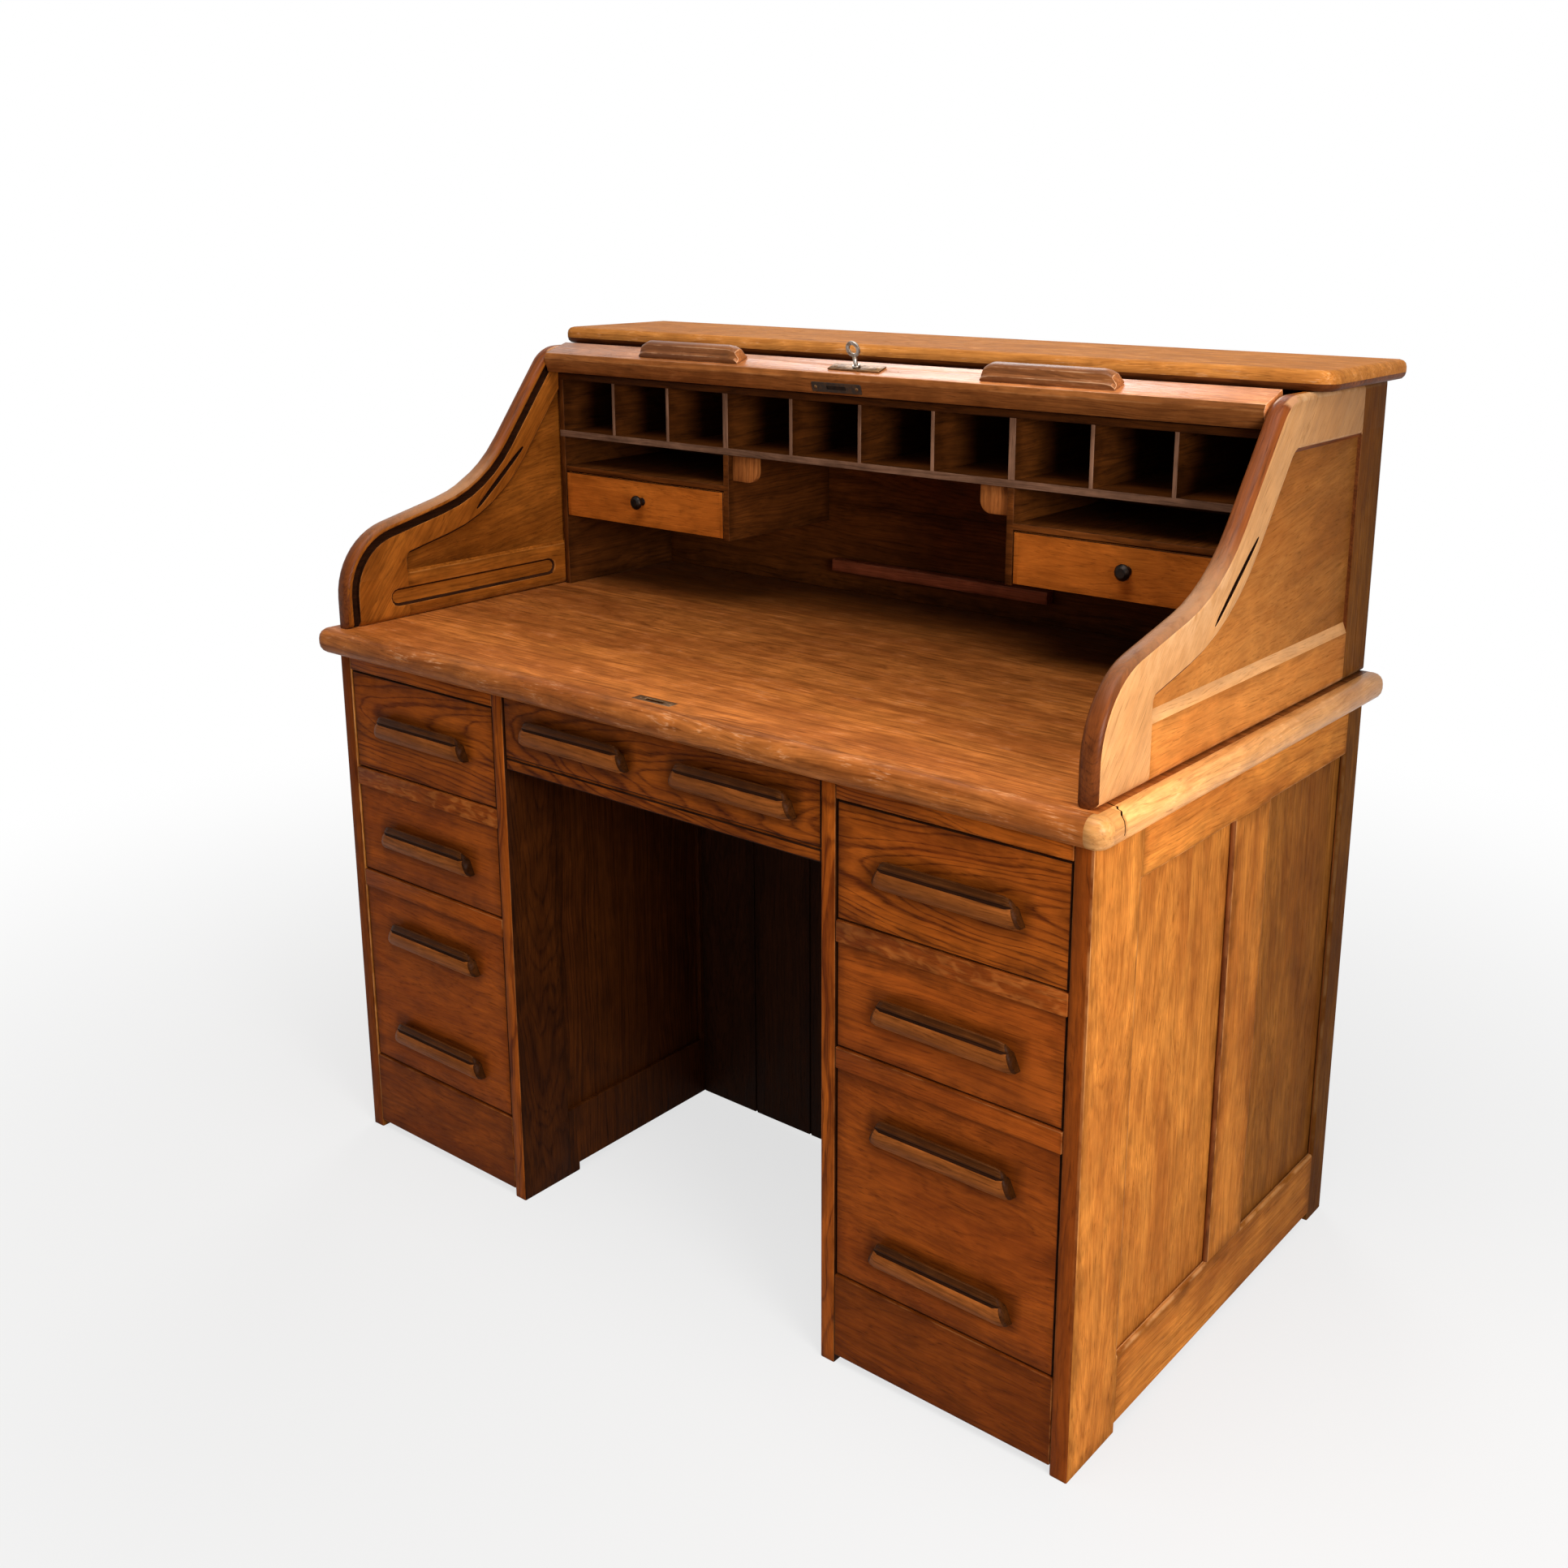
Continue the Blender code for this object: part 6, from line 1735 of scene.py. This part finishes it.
def slat_tree() -> bpy.types.NodeTree:
    """Geometry tree of a run of slats: half-round slats side by side on a strip of canvas.

    Returns:
        The tree, with the slats across X, the run along Y and the rounded side up.
    """
    name = "run of slats on canvas"
    if name in bpy.data.node_groups:
        return bpy.data.node_groups[name]
    tree = bpy.data.node_groups.new(name, "GeometryNodeTree")
    for label, kind in (("Count", "NodeSocketInt"), ("Pitch", "NodeSocketFloat"), ("Length", "NodeSocketFloat"),
                        ("Thickness", "NodeSocketFloat"), ("Slat Finish", "NodeSocketMaterial"),
                        ("Cloth Finish", "NodeSocketMaterial")):
        tree.interface.new_socket(label, in_out="INPUT", socket_type=kind)
    tree.interface.new_socket("Geometry", in_out="OUTPUT", socket_type="NodeSocketGeometry")
    given = add(tree, "NodeGroupInput").outputs
    half = add(tree, "ShaderNodeMath", {0: given["Pitch"], 1: 0.47}, operation="MULTIPLY").outputs[0]
    ring = add(tree, "GeometryNodeCurvePrimitiveCircle", {"Resolution": 20, "Radius": 1.0})
    place = add(tree, "GeometryNodeInputPosition")
    part = add(tree, "ShaderNodeSeparateXYZ", {0: place.outputs[0]})
    wide = add(tree, "ShaderNodeMath", {0: part.outputs[0], 1: half}, operation="MULTIPLY")
    rise = add(tree, "ShaderNodeMath", {0: part.outputs[1], 1: 0.0}, operation="MAXIMUM")
    rise = add(tree, "ShaderNodeMath", {0: rise.outputs[0], 1: given["Thickness"]}, operation="MULTIPLY")
    flat = add(tree, "ShaderNodeCombineXYZ", {0: wide.outputs[0], 1: rise.outputs[0], 2: 0.0})
    section = add(tree, "GeometryNodeSetPosition", {"Geometry": ring.outputs["Curve"], "Position": flat.outputs[0]})
    reach = add(tree, "ShaderNodeMath", {0: given["Length"], 1: 0.5}, operation="MULTIPLY").outputs[0]
    back = add(tree, "ShaderNodeMath", {0: reach, 1: -1.0}, operation="MULTIPLY").outputs[0]
    first = add(tree, "ShaderNodeCombineXYZ", {0: back, 1: 0.0, 2: 0.0})
    last = add(tree, "ShaderNodeCombineXYZ", {0: reach, 1: 0.0, 2: 0.0})
    line = add(tree, "GeometryNodeCurvePrimitiveLine", {"Start": first.outputs[0], "End": last.outputs[0]})
    slat = add(tree, "GeometryNodeCurveToMesh", {"Curve": line.outputs[0], "Profile Curve": section.outputs[0],
                                                 "Fill Caps": True})
    middle = add(tree, "ShaderNodeMath", {0: given["Pitch"], 1: 0.5}, operation="MULTIPLY").outputs[0]
    begin = add(tree, "ShaderNodeCombineXYZ", {0: 0.0, 1: middle, 2: 0.0})
    step = add(tree, "ShaderNodeCombineXYZ", {0: 0.0, 1: given["Pitch"], 2: 0.0})
    points = add(tree, "GeometryNodeMeshLine", {"Count": given["Count"], "Start Location": begin.outputs[0],
                                                "Offset": step.outputs[0]})
    row = add(tree, "GeometryNodeInstanceOnPoints", {"Points": points.outputs[0], "Instance": slat.outputs[0]})
    row = add(tree, "GeometryNodeRealizeInstances", {"Geometry": row.outputs[0]})
    row = add(tree, "GeometryNodeSetMaterial", {"Geometry": row.outputs[0], "Material": given["Slat Finish"]})
    run = add(tree, "ShaderNodeMath", {0: given["Pitch"], 1: given["Count"]}, operation="MULTIPLY").outputs[0]
    size = add(tree, "ShaderNodeCombineXYZ", {0: given["Length"], 1: run, 2: 0.0009})
    sheet = add(tree, "GeometryNodeMeshCube", {"Size": size.outputs[0], "Vertices X": 2, "Vertices Y": 8})
    mid = add(tree, "ShaderNodeMath", {0: run, 1: 0.5}, operation="MULTIPLY").outputs[0]
    shift = add(tree, "ShaderNodeCombineXYZ", {0: 0.0, 1: mid, 2: 0.00046})
    sheet = add(tree, "GeometryNodeSetPosition", {"Geometry": sheet.outputs[0], "Offset": shift.outputs[0]})
    sheet = add(tree, "GeometryNodeSetMaterial", {"Geometry": sheet.outputs[0], "Material": given["Cloth Finish"]})
    both = add(tree, "GeometryNodeJoinGeometry", {"Geometry": row.outputs[0]})
    tree.links.new(sheet.outputs[0], both.inputs[0])
    add(tree, "NodeGroupOutput", {"Geometry": both.outputs[0]})
    return tree


@dataclass
class Studio:
    """Pale floor, soft light from the right and the camera."""

    lens: float = 38.66
    eye: Sequence[float] = (1.3514, -1.6844, 1.3145)
    azimuth: float = math.radians(-38.624)
    elevation: float = math.radians(-14.640)
    roll: float = math.radians(0.091)
    shift: Sequence[float] = (-0.0273, -0.0793)

    def build(self) -> None:
        """Sets up all of the studio."""
        self.camera()
        self.floor()
        self.lamps()
        self.world()
        bpy.context.scene.view_settings.view_transform = "Standard"

    def camera(self) -> None:
        """Places the camera."""
        data = bpy.data.cameras.new("camera")
        data.lens, data.sensor_width = self.lens, 36.0
        data.shift_x, data.shift_y = self.shift
        data.clip_start = 0.05
        ahead = Vector((math.sin(self.azimuth) * math.cos(self.elevation),
                        math.cos(self.azimuth) * math.cos(self.elevation), math.sin(self.elevation)))
        right = ahead.cross(Z).normalized()
        up = right.cross(ahead)
        c, s = math.cos(self.roll), math.sin(self.roll)
        turn = Matrix((right * c + up * s, up * c - right * s, -ahead)).transposed().to_4x4()
        camera = bpy.data.objects.new("camera", data)
        camera.matrix_world = Matrix.Translation(Vector(self.eye)) @ turn
        bpy.context.scene.collection.objects.link(camera)
        bpy.context.scene.camera = camera

    def _seen(self, tree: bpy.types.NodeTree) -> bpy.types.NodeSocket:
        """One for rays that look at the background straight, in a mirror or through glass."""
        path = add(tree, "ShaderNodeLightPath").outputs
        seen = add(tree, "ShaderNodeMath", {0: path["Is Camera Ray"], 1: path["Is Glossy Ray"]}, operation="MAXIMUM")
        return add(tree, "ShaderNodeMath", {0: seen.outputs[0], 1: path["Is Transmission Ray"]},
                   operation="MAXIMUM").outputs[0]

    def floor(self) -> None:
        """Lays a round pale floor that runs out to white and keeps the shadow."""
        bm = bmesh.new()
        bmesh.ops.create_circle(bm, cap_ends=True, segments=96, radius=30.0)
        mesh = bpy.data.meshes.new("floor")
        bm.to_mesh(mesh)
        bm.free()
        floor = bpy.data.objects.new("floor", mesh)
        bpy.context.scene.collection.objects.link(floor)
        material, tree, shader = shader_of("matt white floor")
        shader.inputs["Base Color"].default_value = linear("C8C7C5")
        shader.inputs["Roughness"].default_value = 0.9
        shader.inputs["Specular IOR Level"].default_value = 0.1
        place = add(tree, "ShaderNodeTexCoord").outputs["Object"]
        away = add(tree, "ShaderNodeVectorMath", {0: place}, operation="LENGTH").outputs["Value"]
        far = add(tree, "ShaderNodeMapRange", {0: away, 1: 0.7, 2: 2.4, 3: 0.72, 4: 1.0},
                  interpolation_type="SMOOTHSTEP")
        share = add(tree, "ShaderNodeMath", {0: far.outputs[0], 1: self._seen(tree)}, operation="MULTIPLY")
        white = add(tree, "ShaderNodeEmission", {"Color": (1.0, 1.0, 1.0, 1.0), "Strength": 1.0})
        mixed = add(tree, "ShaderNodeMixShader", {0: share.outputs[0], 1: shader.outputs[0], 2: white.outputs[0]})
        end = next(n for n in tree.nodes if n.type == "OUTPUT_MATERIAL")
        tree.links.new(mixed.outputs[0], end.inputs["Surface"])
        mesh.materials.append(material)

    def lamps(self) -> None:
        """Hangs a soft lamp at the right, a wide one overhead and a weak one behind."""
        for name, place, aim, size, power in (
                ("window lamp", (2.05, -1.0, 1.25), (0.5, -0.15, 0.6), 0.9, 36.0),
                ("ceiling lamp", (0.5, -0.75, 3.0), (0.1, -0.05, 0.7), 1.8, 52.0),
                ("back lamp", (-1.5, 2.2, 3.0), (-0.2, 0.3, 0.5), 1.6, 34.0)):
            data = bpy.data.lights.new(name, "AREA")
            data.shape, data.size, data.energy = "DISK", size, power
            lamp = bpy.data.objects.new(name, data)
            lamp.location = place
            lamp.visible_camera = False
            lamp.rotation_euler = (Vector(aim) - Vector(place)).to_track_quat("-Z", "Y").to_euler()
            bpy.context.scene.collection.objects.link(lamp)

    def world(self) -> None:
        """White to look at, dimmer as light."""
        world = bpy.data.worlds.new("studio")
        world.use_nodes = True
        tree = world.node_tree
        tree.nodes.clear()
        dim = add(tree, "ShaderNodeBackground", {"Color": (1.0, 1.0, 1.0, 1.0), "Strength": 0.2})
        white = add(tree, "ShaderNodeBackground", {"Color": (1.0, 1.0, 1.0, 1.0), "Strength": 1.0})
        mixed = add(tree, "ShaderNodeMixShader", {0: self._seen(tree), 1: dim.outputs[0], 2: white.outputs[0]})
        add(tree, "ShaderNodeOutputWorld", {0: mixed.outputs[0]})
        bpy.context.scene.world = world


def main() -> None:
    """Builds the sub-assemblies in order."""
    logging.basicConfig(level=logging.INFO, format="%(name)s: %(message)s")
    Studio().build()
    WritingTop().build()
    for side in Side:
        Pedestal(side).build()
        tag = side.tag
        Drawer(tag + "top_drawer", cut=Cut.PLAIN, tone=0.03, pulls=(tag + "top_pull",)).build()
        Drawer(tag + "middle_drawer", PLAIN_OAK, Cut.RIFT, -0.02, pulls=(tag + "middle_pull",),
               close=0.0014).build()
        Drawer(tag + "file_drawer", PLAIN_OAK, Cut.PLAIN, -0.04, close=0.0014,
               pulls=(tag + "file_pull_upper", tag + "file_pull_lower")).build()
        SEnd(side).build()
    Drawer("centre_drawer", cut=Cut.PLAIN, tone=-0.2, pulls=("centre_pull_left", "centre_pull_right")).build()
    Kneehole().build()
    UpperCase().build()
    Pigeonholes().build()
    Tambour().build()


if __name__ == "__main__":
    main()
